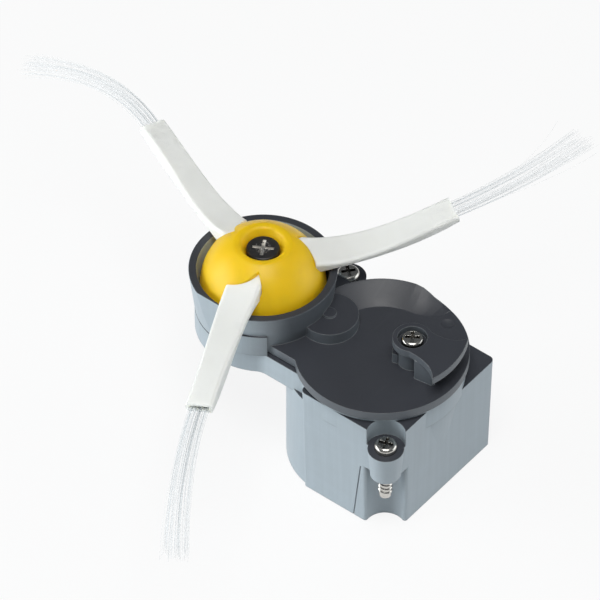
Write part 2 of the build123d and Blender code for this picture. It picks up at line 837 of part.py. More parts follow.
# Rotor: shaft, three-pole core with its windings, commutator and pinion
with BuildPart() as motor_shaft:
    with BuildSketch(level_plane(motor_x, motor_y, shaft_foot)):
        Circle(shaft_radius)
    extrude(amount=shaft_top - shaft_foot)
    chamfer(motor_shaft.edges().group_by(Axis.Z)[-1], shaft_edge)
motor_shaft.part.label = "motor_shaft"
export_step(motor_shaft.part, "parts/motor_shaft.step")

with BuildPart() as armature:
    with BuildSketch(level_plane(motor_x, motor_y, core_foot)):
        Circle(pole_radius)
        with PolarLocations(slot_reach, pole_count):
            Circle(slot_radius, mode=Mode.SUBTRACT)
        with PolarLocations(pole_radius - pole_gap_inset, pole_count):
            Rectangle(pole_gap_length, pole_gap, mode=Mode.SUBTRACT)
        Circle(shaft_radius, mode=Mode.SUBTRACT)
    extrude(amount=core_top - core_foot)
armature.part.label = "armature"
export_step(armature.part, "parts/armature.step")

with BuildPart() as windings:
    with BuildSketch(level_plane(motor_x, motor_y, core_foot - winding_overhang)):
        with PolarLocations(slot_reach, pole_count):
            Circle(slot_radius)
    extrude(amount=core_top - core_foot + 2 * winding_overhang)
windings.part.label = "windings"
export_step(windings.part, "parts/windings.step")

with BuildPart() as commutator:
    with BuildSketch(level_plane(motor_x, motor_y, cap_foot + wall + commutator_gap)):
        Circle(commutator_radius)
        Circle(shaft_radius, mode=Mode.SUBTRACT)
    extrude(amount=core_foot - cap_foot - wall - commutator_gap)
commutator.part.label = "commutator"
export_step(commutator.part, "parts/commutator.step")

with BuildPart() as motor_pinion:
    with BuildSketch(facing(motor_axis, middle_level - pinion_sink, first_axis, 180 / motor_teeth)):
        with BuildLine():
            Polyline(gear_outline(motor_teeth, first_module), close=True)
        make_face()
        Circle(shaft_radius, mode=Mode.SUBTRACT)
    extrude(amount=middle_face + pinion_excess)
motor_pinion.part.label = "motor_pinion"
export_step(motor_pinion.part, "parts/motor_pinion.step")

# First gear: wheel driven by the motor, pinion below it
with BuildPart() as first_gear:
    with BuildSketch(facing(first_axis, middle_level, motor_axis)):
        with BuildLine():
            Polyline(gear_outline(first_teeth, first_module), close=True)
        make_face()
    extrude(amount=middle_face)
    with BuildSketch(facing(first_axis, low_level, second_axis, 180 / pinion_teeth)):
        with BuildLine():
            Polyline(gear_outline(pinion_teeth, second_module), close=True)
        make_face()
    extrude(amount=middle_level - low_level)
    with BuildSketch(level_plane(first_axis[0], first_axis[1], low_level)):
        Circle(axle_radius + running_gap)
    extrude(amount=seam, mode=Mode.SUBTRACT)
first_gear.part.label = "first_gear"
export_step(first_gear.part, "parts/first_gear.step")

# Second gear: wheel low in the chamber, pinion up under the bump
with BuildPart() as second_gear:
    with BuildSketch(facing(second_axis, low_level, first_axis)):
        with BuildLine():
            Polyline(gear_outline(second_teeth, second_module), close=True)
        make_face()
    extrude(amount=low_face)
    with BuildSketch(level_plane(second_axis[0], second_axis[1], low_level + low_face - web_depth)):
        Circle(second_web)
        Circle(gear_hub_radius + web_depth, mode=Mode.SUBTRACT)
    extrude(amount=low_face, mode=Mode.SUBTRACT)
    with BuildSketch(level_plane(second_axis[0], second_axis[1], low_level)):
        Circle(gear_hub_radius)
    extrude(amount=high_level - low_level)
    with BuildSketch(facing(second_axis, high_level, brush_axis)):
        with BuildLine():
            Polyline(gear_outline(pinion_teeth, output_module), close=True)
        make_face()
    extrude(amount=high_face)
    with BuildSketch(level_plane(second_axis[0], second_axis[1], low_level)):
        Circle(axle_radius + running_gap)
    extrude(amount=seam, mode=Mode.SUBTRACT)
second_gear.part.label = "second_gear"
export_step(second_gear.part, "parts/second_gear.step")

with BuildPart() as first_axle:
    with BuildSketch(level_plane(first_axis[0], first_axis[1], axle_foot)):
        Circle(axle_radius)
    extrude(amount=first_axle_top - axle_foot)
first_axle.part.label = "first_axle"
export_step(first_axle.part, "parts/first_axle.step")

with BuildPart() as second_axle:
    with BuildSketch(level_plane(second_axis[0], second_axis[1], axle_foot)):
        Circle(axle_radius)
    extrude(amount=second_axle_top - axle_foot)
second_axle.part.label = "second_axle"
export_step(second_axle.part, "parts/second_axle.step")

# Output gear pressed on the spindle
with BuildPart() as output_gear:
    with BuildSketch(facing(brush_axis, high_level, second_axis, 180 / output_teeth)):
        with BuildLine():
            Polyline(gear_outline(output_teeth, output_module), close=True)
        make_face()
        Circle(seat_radius, mode=Mode.SUBTRACT)
    extrude(amount=high_face)
    with BuildSketch(level_plane(brush_x, brush_y, high_level + high_face - web_depth)):
        Circle(output_web)
        Circle(2 * seat_radius, mode=Mode.SUBTRACT)
    extrude(amount=high_face, mode=Mode.SUBTRACT)
output_gear.part.label = "output_gear"
export_step(output_gear.part, "parts/output_gear.step")

with BuildPart() as spindle:
    with BuildSketch(level_plane(brush_x, brush_y, spindle_foot)):
        Circle(journal_radius)
    extrude(amount=high_level - spindle_foot)
    with BuildSketch(level_plane(brush_x, brush_y, high_level)):
        Circle(seat_radius)
    extrude(amount=high_face)
    with BuildSketch(level_plane(brush_x, brush_y, high_level + high_face)):
        Circle(bush_bore_radius - running_gap)
    extrude(amount=cup_floor_top + running_gap - high_level - high_face)
    with BuildSketch(level_plane(brush_x, brush_y, cup_floor_top)):
        Rectangle(post_side, post_side)
    extrude(amount=post_top - cup_floor_top)
    with BuildSketch(level_plane(brush_x, brush_y, post_top - spindle_thread_depth)):
        Circle(spindle_thread_radius)
    extrude(amount=spindle_thread_depth, mode=Mode.SUBTRACT)
spindle.part.label = "spindle"
export_step(spindle.part, "parts/spindle.step")

with BuildPart() as spindle_bush:
    with BuildSketch(level_plane(brush_x, brush_y, cup_floor_under)):
        Circle(spindle_bush_radius)
        Circle(bush_bore_radius, mode=Mode.SUBTRACT)
    extrude(amount=cup_floor_top - cup_floor_under)
spindle_bush.part.label = "spindle_bush"
export_step(spindle_bush.part, "parts/spindle_bush.step")

with BuildPart() as shaft_seal:
    with BuildSketch(level_plane(brush_x, brush_y, cup_floor_top)):
        Circle(seal_radius)
        Circle(bush_bore_radius + seal_bore_gap, mode=Mode.SUBTRACT)
    extrude(amount=seal_thickness)
shaft_seal.part.label = "shaft_seal"
export_step(shaft_seal.part, "parts/shaft_seal.step")


# Arms: each path starts inside the hub and bends its own way
def brush_point(reach, angle, height):
    x, y = polar(brush_x, brush_y, reach, angle)
    return Vector(x, y, height)


def across(origin, heading, pitch):
    level = Vector(0, 0, 1).cross(heading).normalized()
    upright = heading.cross(level).normalized()
    sideways = level * cos(radians(pitch)) + upright * sin(radians(pitch))
    return Plane(origin=origin, x_dir=sideways, z_dir=heading)


def arm_path(angle, mid_turn, mid_height, end_reach, end_turn, end_height):
    return [
        brush_point(arm_root_reach, angle, arm_root_height),
        brush_point(arm_neck_reach, angle, arm_neck_height),
        brush_point(arm_mid_reach, angle + mid_turn, mid_height),
        brush_point(end_reach, angle + end_turn, end_height),
    ]


def arm_planes(path):
    planes = []
    for index in range(len(path)):
        before = path[max(index - 1, 0)]
        after = path[min(index + 1, len(path) - 1)]
        planes.append(across(path[index], (after - before).normalized(), arm_pitch))
    return planes


def tuft_planes(path, tip):
    start = path[-1]
    heading = (path[-1] - path[-2]).normalized()
    control = start + heading * ((tip - start).length / 2)
    planes = []
    for station in range(tuft_stations):
        part = station / (tuft_stations - 1)
        centre = start * (1 - part) ** 2 + control * (2 * part * (1 - part)) + tip * part**2
        tangent = (control - start) * (1 - part) + (tip - control) * part
        planes.append(across(centre, tangent.normalized(), arm_pitch))
    return planes


def notch_plane(path, level):
    return facing(brush_axis, level, (path[0].X, path[0].Y))


def make_sleeve(path):
    planes = arm_planes(path)
    with BuildPart() as sleeve:
        with BuildSketch(planes[0]):
            RectangleRounded(arm_root_width, arm_root_thickness, arm_corner)
        with BuildSketch(planes[1]):
            RectangleRounded(arm_root_width, arm_neck_thickness, arm_corner)
        with BuildSketch(planes[2]):
            RectangleRounded(arm_width, arm_thickness, arm_corner)
        with BuildSketch(planes[3]):
            RectangleRounded(arm_end_width, arm_thickness, arm_corner)
        loft()
        with BuildSketch(notch_plane(path, 0)):
            with BuildLine():
                ThreePointArc(notch_tip, notch_mid, notch_hood)
                Polyline(
                    notch_hood,
                    (notch_hood_reach, -dome_radius),
                    (0, -dome_radius),
                    (0, dome_radius),
                    (notch_wall_reach, dome_radius),
                    notch_wall,
                    notch_tip,
                )
            make_face()
        extrude(amount=2 * dome_top, mode=Mode.SUBTRACT)
        with BuildSketch(planes[3]):
            Rectangle(tuft_width, tuft_thickness)
        extrude(amount=-tuft_root, mode=Mode.SUBTRACT)
    return sleeve.part


def make_tuft(path, tip):
    planes = tuft_planes(path, tip)
    with BuildPart() as tuft:
        with BuildSketch(planes[0]):
            Rectangle(tuft_width, tuft_thickness)
        extrude(amount=-tuft_root)
        for strand in range(strand_count):
            side = 2 * strand / (strand_count - 1) - 1
            for station in range(tuft_stations):
                part = station / (tuft_stations - 1)
                spread = tuft_width + (tuft_tip_width - tuft_width) * part - strand_width
                with BuildSketch(planes[station]):
                    with Locations((side * spread / 2, 0)):
                        Rectangle(
                            strand_width,
                            tuft_thickness + (tuft_tip_thickness - tuft_thickness) * part,
                        )
            loft(ruled=True)
    return tuft.part


left_angle = arm_angle + arm_spacing
front_angle = arm_angle + 2 * arm_spacing
right_path = arm_path(
    arm_angle, right_mid_turn, right_mid_height, right_end_reach, right_end_turn, right_end_height
)
left_path = arm_path(
    left_angle, left_mid_turn, left_mid_height, left_end_reach, left_end_turn, left_end_height
)
front_path = arm_path(
    front_angle, front_mid_turn, front_mid_height, front_end_reach, front_end_turn, front_end_height
)
arm_sleeve_right = make_sleeve(right_path)
arm_sleeve_right.label = "arm_sleeve_right"
export_step(arm_sleeve_right, "parts/arm_sleeve_right.step")
arm_sleeve_left = make_sleeve(left_path)
arm_sleeve_left.label = "arm_sleeve_left"
export_step(arm_sleeve_left, "parts/arm_sleeve_left.step")
arm_sleeve_front = make_sleeve(front_path)
arm_sleeve_front.label = "arm_sleeve_front"
export_step(arm_sleeve_front, "parts/arm_sleeve_front.step")

tuft_right = make_tuft(right_path, brush_point(tip_reach, arm_angle + right_tip_turn, right_tip_height))
tuft_right.label = "tuft_right"
export_step(tuft_right, "parts/tuft_right.step")
tuft_left = make_tuft(left_path, brush_point(tip_reach, left_angle + left_tip_turn, left_tip_height))
tuft_left.label = "tuft_left"
export_step(tuft_left, "parts/tuft_left.step")
tuft_front = make_tuft(front_path, brush_point(tip_reach, front_angle + front_tip_turn, front_tip_height))
tuft_front.label = "tuft_front"
export_step(tuft_front, "parts/tuft_front.step")

# Hub: shell dome with a cored post, a crater for the screw and three arm notches
with BuildPart() as brush_hub:
    with Locations((brush_x, brush_y, dome_centre)):
        Sphere(dome_radius)
        Sphere(dome_radius - dome_shell, mode=Mode.SUBTRACT)
    with BuildSketch(level_plane(brush_x, brush_y, dome_foot)):
        Circle(hub_core_radius)
    extrude(amount=dome_top - dome_foot)
    with BuildSketch(level_plane(brush_x, brush_y, dome_foot)):
        Circle(dome_radius * 2)
    extrude(amount=-dome_radius * 2, mode=Mode.SUBTRACT)
    with BuildSketch(level_plane(brush_x, brush_y, dome_top)):
        Circle(dome_radius * 2)
    extrude(amount=dome_radius, mode=Mode.SUBTRACT)
    for path in (right_path, left_path, front_path):
        with BuildSketch(notch_plane(path, arm_root_height)):
            with BuildLine():
                ThreePointArc(notch_tip, notch_mid, notch_hood)
                Polyline(
                    notch_hood,
                    (dome_radius, notch_hood_side),
                    (dome_radius, notch_wall_side),
                    notch_wall,
                    notch_tip,
                )
            make_face()
        extrude(amount=dome_radius, mode=Mode.SUBTRACT)
    add(arm_sleeve_right, mode=Mode.SUBTRACT)
    add(arm_sleeve_left, mode=Mode.SUBTRACT)
    add(arm_sleeve_front, mode=Mode.SUBTRACT)
    with BuildSketch(level_plane(brush_x, brush_y, dome_foot)):
        Rectangle(post_side + 2 * post_gap, post_side + 2 * post_gap)
    extrude(amount=post_top - dome_foot, mode=Mode.SUBTRACT)
    with BuildSketch(level_plane(brush_x, brush_y, dome_foot)):
        Circle(spindle_thread_radius + screw_hole_gap)
    extrude(amount=screw_seat - dome_foot, mode=Mode.SUBTRACT)
    with BuildSketch(level_plane(brush_x, brush_y, screw_seat)):
        Circle(screw_well_radius)
    extrude(amount=dome_top, mode=Mode.SUBTRACT)
    with Locations((brush_x, brush_y, dome_top - crater_depth)):
        Cone(
            screw_well_radius,
            crater_radius,
            crater_depth,
            align=(Align.CENTER, Align.CENTER, Align.MIN),
            mode=Mode.SUBTRACT,
        )
    fillet(brush_hub.edges().group_by(Axis.Z)[-1], crater_edge)
brush_hub.part.label = "brush_hub"
export_step(brush_hub.part, "parts/brush_hub.step")

# Brush screw: flat pan head with a cross recess
with BuildPart() as brush_screw:
    with BuildSketch(level_plane(brush_x, brush_y, screw_seat)):
        Circle(brush_head_radius)
    extrude(amount=brush_head_height)
    fillet(brush_screw.edges().group_by(Axis.Z)[-1], brush_head_edge)
    with BuildSketch(level_plane(brush_x, brush_y, screw_seat - brush_screw_length)):
        Circle(spindle_thread_radius)
    extrude(amount=brush_screw_length)
    with BuildSketch(level_plane(brush_x, brush_y, screw_seat + brush_head_height - cross_depth)):
        Rectangle(cross_span * brush_head_radius, cross_slot, rotation=cross_turn)
        Rectangle(cross_slot, cross_span * brush_head_radius, rotation=cross_turn)
    extrude(amount=brush_head_height, mode=Mode.SUBTRACT)
brush_screw.part.label = "brush_screw"
export_step(brush_screw.part, "parts/brush_screw.step")


def pan_screw(x, y, seat, length, turn, neck_length):
    with BuildPart() as screw:
        with BuildSketch(level_plane(x, y, seat)):
            Circle(screw_head_radius)
        extrude(amount=screw_head_height)
        fillet(screw.edges().group_by(Axis.Z)[-1], screw_head_height / 2)
        with BuildSketch(level_plane(x, y, seat - length)):
            Circle(screw_thread_radius)
        extrude(amount=length - neck_length)
        chamfer(screw.edges().group_by(Axis.Z)[0], thread_edge)
        if neck_length:
            with BuildSketch(level_plane(x, y, seat - neck_length)):
                Circle(screw_neck_radius)
            extrude(amount=neck_length)
        with BuildSketch(level_plane(x, y, seat + screw_head_height - cross_depth)):
            Rectangle(cross_span * screw_head_radius, cross_slot, rotation=turn)
            Rectangle(cross_slot, cross_span * screw_head_radius, rotation=turn)
        extrude(amount=screw_head_height, mode=Mode.SUBTRACT)
    return screw.part


mounting_screws = Compound(
    children=[
        pan_screw(
            front_screw_x, front_screw_y, front_seat, screw_length, front_screw_turn, screw_neck_length
        ),
        pan_screw(back_screw_x, back_screw_y, seam, screw_length, back_screw_turn, screw_neck_length),
    ]
)
mounting_screws.label = "mounting_screws"
export_step(mounting_screws, "parts/mounting_screws.step")
cover_screw = pan_screw(cover_screw_x, cover_screw_y, boss_seat, cover_screw_length, cover_screw_turn, 0)
cover_screw.label = "cover_screw"
export_step(cover_screw, "parts/cover_screw.step")

with BuildPart() as case_screw:
    with BuildSketch(level_plane(case_screw_x, case_screw_y, pan_bottom)):
        Circle(case_head_radius)
    extrude(amount=-case_head_height)
    fillet(case_screw.edges().group_by(Axis.Z)[0], case_head_height / 2)
    with BuildSketch(level_plane(case_screw_x, case_screw_y, pan_bottom)):
        Circle(case_thread_radius)
    extrude(amount=case_screw_length)
    with BuildSketch(level_plane(case_screw_x, case_screw_y, pan_bottom - case_head_height / 2)):
        Rectangle(cross_span * case_head_radius, cross_slot)
        Rectangle(cross_slot, cross_span * case_head_radius)
    extrude(amount=-case_head_height, mode=Mode.SUBTRACT)
case_screw.part.label = "case_screw"
export_step(case_screw.part, "parts/case_screw.step")
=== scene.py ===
import math
import random

import bpy
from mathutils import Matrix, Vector


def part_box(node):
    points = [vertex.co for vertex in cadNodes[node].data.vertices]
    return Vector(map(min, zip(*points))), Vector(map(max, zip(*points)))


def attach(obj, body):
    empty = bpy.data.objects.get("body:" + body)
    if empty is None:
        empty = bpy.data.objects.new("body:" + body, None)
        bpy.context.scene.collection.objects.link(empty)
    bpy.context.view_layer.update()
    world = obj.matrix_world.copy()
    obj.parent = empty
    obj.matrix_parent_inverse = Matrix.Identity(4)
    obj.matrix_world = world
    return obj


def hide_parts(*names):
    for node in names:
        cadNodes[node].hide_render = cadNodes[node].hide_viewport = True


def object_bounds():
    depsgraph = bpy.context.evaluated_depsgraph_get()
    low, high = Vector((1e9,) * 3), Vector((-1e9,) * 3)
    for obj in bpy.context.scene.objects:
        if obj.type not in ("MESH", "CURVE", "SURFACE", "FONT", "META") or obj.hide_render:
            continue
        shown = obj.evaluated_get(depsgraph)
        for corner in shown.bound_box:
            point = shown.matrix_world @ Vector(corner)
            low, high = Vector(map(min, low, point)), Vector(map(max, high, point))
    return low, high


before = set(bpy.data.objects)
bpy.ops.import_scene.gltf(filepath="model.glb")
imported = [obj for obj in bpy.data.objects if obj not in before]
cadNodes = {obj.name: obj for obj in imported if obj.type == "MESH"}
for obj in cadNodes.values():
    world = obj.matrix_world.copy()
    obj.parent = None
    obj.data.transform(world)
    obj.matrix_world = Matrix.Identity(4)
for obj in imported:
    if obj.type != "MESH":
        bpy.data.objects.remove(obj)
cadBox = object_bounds()
mm = 0.001
print("frame loaded:", len(cadNodes), "nodes")


# Small helpers for objects
def addObject(name, data):
    made = bpy.data.objects.new(name, data)
    bpy.context.scene.collection.objects.link(made)
    return made


def addMesh(name, points, faces):
    mesh = bpy.data.meshes.new(name)
    mesh.from_pydata(points, [], faces)
    return addObject(name, mesh)


def standBack(thing, target, away, distance):
    thing.location = Vector(target) + away * distance
    thing.rotation_euler = (-away).to_track_quat("-Z", "Y").to_euler()


# Camera: long lens, three-quarter view from above
shot = {
    "azimuth": 38.6,
    "elevation": 46.0,
    "distance": 1.9254,
    "target": (-0.0302, 0.0002, 0.0375),
    "lens": 480.0,
    "sensor": 36.0,
    "nearest": 0.05,
    "farthest": 50.0,
}


def placeCamera(look):
    az = math.radians(look["azimuth"])
    el = math.radians(look["elevation"])
    back = Vector((math.sin(az) * math.cos(el), -math.cos(az) * math.cos(el), math.sin(el)))
    data = bpy.data.cameras.new("benchCamera")
    data.lens = look["lens"]
    data.sensor_width = look["sensor"]
    data.clip_start = look["nearest"]
    data.clip_end = look["farthest"]
    camera = addObject("benchCamera", data)
    standBack(camera, look["target"], back, look["distance"])
    bpy.context.scene.camera = camera


placeCamera(shot)
bpy.context.scene.view_settings.view_transform = "Standard"
print("camera placed")


# Small helpers for node work; x and y are places in the node editor
def addNode(tree, kind, x, y, **values):
    node = tree.nodes.new(kind)
    node.location = (x, y)
    for key, value in values.items():
        setattr(node, key, value)
    return node


def setInputs(node, **values):
    for key, value in values.items():
        node.inputs[key.replace("_", " ")].default_value = value


def mathNode(tree, kind, first, second, x, y):
    node = addNode(tree, "ShaderNodeMath", x, y, operation=kind)
    for index, source in enumerate((first, second)):
        if source is None:
            continue
        if isinstance(source, (int, float)):
            node.inputs[index].default_value = source
        else:
            tree.links.new(source, node.inputs[index])
    return node.outputs[0]


def blendColour(tree, mask, first, second, x, y):
    node = addNode(tree, "ShaderNodeMix", x, y, data_type="RGBA")
    for index, source in ((0, mask), (6, first), (7, second)):  # sockets of the colour kind
        if isinstance(source, tuple):
            node.inputs[index].default_value = (*source, 1.0)
        else:
            tree.links.new(source, node.inputs[index])
    return node.outputs[2]


def spread(tree, source, span, x, y, result=(0.0, 1.0)):
    node = addNode(tree, "ShaderNodeMapRange", x, y)
    for index, value in enumerate((*span, *result)):
        node.inputs[index + 1].default_value = value
    tree.links.new(source, node.inputs[0])
    return node.outputs[0]


def addNoise(tree, place, x, y, **values):
    noise = addNode(tree, "ShaderNodeTexNoise", x, y)
    setInputs(noise, **values)
    tree.links.new(place, noise.inputs["Vector"])
    return noise


def stretchPlace(tree, place, scale, x, y, turn=(0.0, 0.0, 0.0)):
    node = addNode(tree, "ShaderNodeMapping", x, y)
    setInputs(node, Scale=scale, Rotation=turn)
    tree.links.new(place, node.inputs["Vector"])
    return node.outputs[0]


def newGroup(name, inputs, outputs):
    group = bpy.data.node_groups.new(name, "ShaderNodeTree")
    for label, kind, value in inputs:
        socket = group.interface.new_socket(name=label, in_out="INPUT", socket_type=kind)
        socket.default_value = value
    for label, kind in outputs:
        group.interface.new_socket(name=label, in_out="OUTPUT", socket_type=kind)
    start = addNode(group, "NodeGroupInput", -1000, 0)
    end = addNode(group, "NodeGroupOutput", 900, 0)
    return group, start, end


def useGroup(tree, group, x, y, **values):
    node = addNode(tree, "ShaderNodeGroup", x, y, node_tree=group)
    for key, value in values.items():
        socket = node.inputs[key.replace("_", " ")]
        if isinstance(value, bpy.types.NodeSocket):
            tree.links.new(value, socket)
        else:
            socket.default_value = (*value, 1.0) if isinstance(value, tuple) else value
    return node


# Mould grain: spark texture of the tool, slow colour drift and flow marks
def buildMouldGrain():
    group, start, end = newGroup(
        "mouldGrain",
        [
            ("Colour", "NodeSocketColor", (0.2, 0.2, 0.2, 1)),
            ("Drift", "NodeSocketFloat", 0.08),
            ("Grain Scale", "NodeSocketFloat", 3000.0),
            ("Roughness", "NodeSocketFloat", 0.45),
            ("Roughness Spread", "NodeSocketFloat", 0.1),
        ],
        [("Colour", "NodeSocketColor"), ("Roughness", "NodeSocketFloat"), ("Height", "NodeSocketFloat")],
    )
    noiseMiddle = 0.5  # a noise swings round this value
    flowStretch = (60.0, 60.0, 420.0)
    link = group.links.new
    place = addNode(group, "ShaderNodeTexCoord", -1000, -300).outputs["Object"]
    grain = addNoise(group, place, -760, 120, Detail=3.0, Roughness=0.6)
    link(start.outputs["Grain Scale"], grain.inputs["Scale"])
    slow = addNoise(group, place, -760, -140, Scale=55.0, Detail=4.0, Roughness=0.55, Distortion=0.6)
    pulled = stretchPlace(group, place, flowStretch, -780, -420)
    flow = addNoise(group, pulled, -580, -420, Scale=1.0, Detail=2.0)
    mixed = mathNode(group, "ADD", slow.outputs[0], flow.outputs[0], -380, -260)
    centred = mathNode(group, "SUBTRACT", mixed, 2 * noiseMiddle, -220, -260)
    drifted = mathNode(group, "MULTIPLY", centred, start.outputs["Drift"], -60, -260)
    tone = mathNode(group, "ADD", drifted, 1.0, 100, -260)
    tinted = addNode(group, "ShaderNodeVectorMath", 280, 160, operation="SCALE")
    link(start.outputs["Colour"], tinted.inputs[0])
    link(tone, tinted.inputs["Scale"])
    link(tinted.outputs[0], end.inputs["Colour"])
    fine = mathNode(group, "SUBTRACT", grain.outputs[0], noiseMiddle, -380, 20)
    both = mathNode(group, "ADD", fine, centred, -220, 20)
    moved = mathNode(group, "MULTIPLY", both, start.outputs["Roughness Spread"], -60, 20)
    rough = mathNode(group, "ADD", moved, start.outputs["Roughness"], 100, 20)
    link(rough, end.inputs["Roughness"])
    link(grain.outputs[0], end.inputs["Height"])
    return group


# Edge wear and highlight: a thin mask along the moulded corners, where handling polishes them; the paler
# colour laid on it is also a painted edge highlight
def buildEdgeWearAndHighlight():
    group, start, end = newGroup(
        "edgeWearAndHighlight",
        [("Width", "NodeSocketFloat", 0.0003), ("Breakup", "NodeSocketFloat", 0.5)],
        [("Mask", "NodeSocketFloat"), ("Normal", "NodeSocketVector")],
    )
    flatToCorner = (0.98, 0.78)  # how well the softened normal agrees with the true one
    link = group.links.new
    soft = addNode(group, "ShaderNodeBevel", -700, 100, samples=6)
    link(start.outputs["Width"], soft.inputs["Radius"])
    true = addNode(group, "ShaderNodeNewGeometry", -700, -100)
    along = addNode(group, "ShaderNodeVectorMath", -460, 0, operation="DOT_PRODUCT")
    link(soft.outputs[0], along.inputs[0])
    link(true.outputs["Normal"], along.inputs[1])
    turned = spread(group, along.outputs["Value"], flatToCorner, -260, 0)
    place = addNode(group, "ShaderNodeTexCoord", -900, -340).outputs["Object"]
    noise = addNoise(group, place, -700, -340, Scale=420.0, Detail=3.0)
    broken = mathNode(group, "MULTIPLY", noise.outputs[0], start.outputs["Breakup"], -460, -300)
    kept = mathNode(group, "SUBTRACT", 1.0, broken, -260, -300)
    link(mathNode(group, "MULTIPLY", turned, kept, 0, -60), end.inputs["Mask"])
    link(soft.outputs[0], end.inputs["Normal"])
    return group


# Handling marks: faint smears and a few short scratches
def buildHandMarks():
    group, start, end = newGroup(
        "handMarks",
        [("Amount", "NodeSocketFloat", 0.5)],
        [("Smear", "NodeSocketFloat"), ("Scratch", "NodeSocketFloat")],
    )
    smearSpan = (0.5, 0.75)
    scratchSpan = (0.68, 0.72)
    scratchStretch = (1.0, 0.06, 0.3)
    scratchTurn = (0.2, 0.1, 0.7)
    link = group.links.new
    amount = start.outputs["Amount"]
    place = addNode(group, "ShaderNodeTexCoord", -1000, -200).outputs["Object"]
    cloud = addNoise(group, place, -760, 100, Scale=90.0, Detail=5.0, Distortion=1.4)
    smear = spread(group, cloud.outputs[0], smearSpan, -520, 100)
    link(mathNode(group, "MULTIPLY", smear, amount, -280, 100), end.inputs["Smear"])
    pulled = stretchPlace(group, place, scratchStretch, -760, -240, scratchTurn)
    line = addNoise(group, pulled, -540, -240, Scale=260.0, Detail=2.0, Roughness=0.7)
    thin = spread(group, line.outputs[0], scratchSpan, -300, -240)
    link(mathNode(group, "MULTIPLY", thin, amount, -80, -240), end.inputs["Scratch"])
    return group


# Turned metal: fine rings round an upright axis, with patches of tarnish
def buildTurnedMetal():
    group, start, end = newGroup(
        "turnedMetal",
        [
            ("Colour", "NodeSocketColor", (0.6, 0.6, 0.58, 1)),
            ("Tarnish", "NodeSocketColor", (0.2, 0.19, 0.18, 1)),
            ("Axis", "NodeSocketVector", (0.0, 0.0, 0.0)),
            ("Ring Scale", "NodeSocketFloat", 9000.0),
            ("Roughness", "NodeSocketFloat", 0.25),
        ],
        [("Colour", "NodeSocketColor"), ("Roughness", "NodeSocketFloat"), ("Height", "NodeSocketFloat")],
    )
    stainSpan = (0.5, 0.8)
    stainMost = 0.7
    ringDulling = 0.16
    stainDulling = 0.2
    link = group.links.new
    place = addNode(group, "ShaderNodeTexCoord", -1000, -200).outputs["Object"]
    away = addNode(group, "ShaderNodeVectorMath", -820, -60, operation="SUBTRACT")
    link(place, away.inputs[0])
    link(start.outputs["Axis"], away.inputs[1])
    flat = addNode(group, "ShaderNodeVectorMath", -660, -60, operation="MULTIPLY")
    flat.inputs[1].default_value = (1.0, 1.0, 0.0)
    link(away.outputs[0], flat.inputs[0])
    radius = addNode(group, "ShaderNodeVectorMath", -500, -60, operation="LENGTH")
    link(flat.outputs[0], radius.inputs[0])
    rings = addNode(group, "ShaderNodeTexNoise", -300, -60, noise_dimensions="1D")
    setInputs(rings, Detail=2.0)
    link(radius.outputs["Value"], rings.inputs["W"])
    link(start.outputs["Ring Scale"], rings.inputs["Scale"])
    stain = addNoise(group, place, -500, -360, Scale=700.0, Detail=5.0, Roughness=0.65)
    stained = spread(group, stain.outputs[0], stainSpan, -300, -360, (0.0, stainMost))
    toned = blendColour(group, stained, start.outputs["Colour"], start.outputs["Tarnish"], 0, 160)
    link(toned, end.inputs["Colour"])
    wobble = mathNode(group, "MULTIPLY", rings.outputs[0], ringDulling, -80, -60)
    dulled = mathNode(group, "MULTIPLY", stained, stainDulling, -80, -300)
    uneven = mathNode(group, "ADD", wobble, dulled, 100, -160)
    rough = mathNode(group, "ADD", uneven, start.outputs["Roughness"], 260, -160)
    link(rough, end.inputs["Roughness"])
    link(rings.outputs[0], end.inputs["Height"])
    return group


# Painted wall light: a mask of the upright walls, in fine upright streaks, where the colour is painted
# paler to stand in for light falling on them from the sides
def buildPaintedWallLight():
    group, start, end = newGroup(
        "paintedWallLight",
        [("Streaks", "NodeSocketFloat", 0.2)],
        [("Mask", "NodeSocketFloat")],
    )
    levelToUpright = (0.9, 0.25)  # upward share of the normal
    streakStretch = (900.0, 900.0, 30.0)
    link = group.links.new
    place = addNode(group, "ShaderNodeTexCoord", -1000, -200)
    parts = addNode(group, "ShaderNodeSeparateXYZ", -780, 100)
    link(place.outputs["Normal"], parts.inputs[0])
    level = mathNode(group, "ABSOLUTE", parts.outputs["Z"], None, -600, 100)
    upright = spread(group, level, levelToUpright, -420, 100)
    pulled = stretchPlace(group, place.outputs["Object"], streakStretch, -780, -240)
    streak = addNoise(group, pulled, -580, -240, Scale=1.0, Detail=3.0)
    cut = mathNode(group, "MULTIPLY", streak.outputs[0], start.outputs["Streaks"], -380, -240)
    kept = mathNode(group, "SUBTRACT", 1.0, cut, -200, -240)
    link(mathNode(group, "MULTIPLY", upright, kept, 0, 0), end.inputs["Mask"])
    return group


paintedWallLight = buildPaintedWallLight()
mouldGrain = buildMouldGrain()
edgeWearAndHighlight = buildEdgeWearAndHighlight()
handMarks = buildHandMarks()
turnedMetal = buildTurnedMetal()
print("shared groups ready")


# Small helpers for materials
def newMaterial(name):
    material = bpy.data.materials.new(name)
    material.use_nodes = True
    tree = material.node_tree
    shader = tree.nodes["Principled BSDF"]
    return material, tree, shader


def feed(tree, shader, **sources):
    for key, source in sources.items():
        tree.links.new(source, shader.inputs[key.replace("_", " ")])


def useGrain(tree, look, colour, y=200):
    return useGroup(tree, mouldGrain, -620, y, Colour=colour, Drift=look["drift"],
                    Grain_Scale=look["grainScale"], Roughness=look["roughness"],
                    Roughness_Spread=look["roughnessSpread"])


def useEdgeWearAndHighlight(tree, look, y):
    return useGroup(tree, edgeWearAndHighlight, -620, y, Width=look["edgeWidth"], Breakup=look["edgeBreakup"])


def useTurning(tree, look, axis, x):
    turned = useGroup(tree, turnedMetal, x, 200, Colour=look["colour"], Tarnish=look["tarnish"],
                      Ring_Scale=look["rings"], Roughness=look["roughness"])
    turned.inputs["Axis"].default_value = axis
    return turned


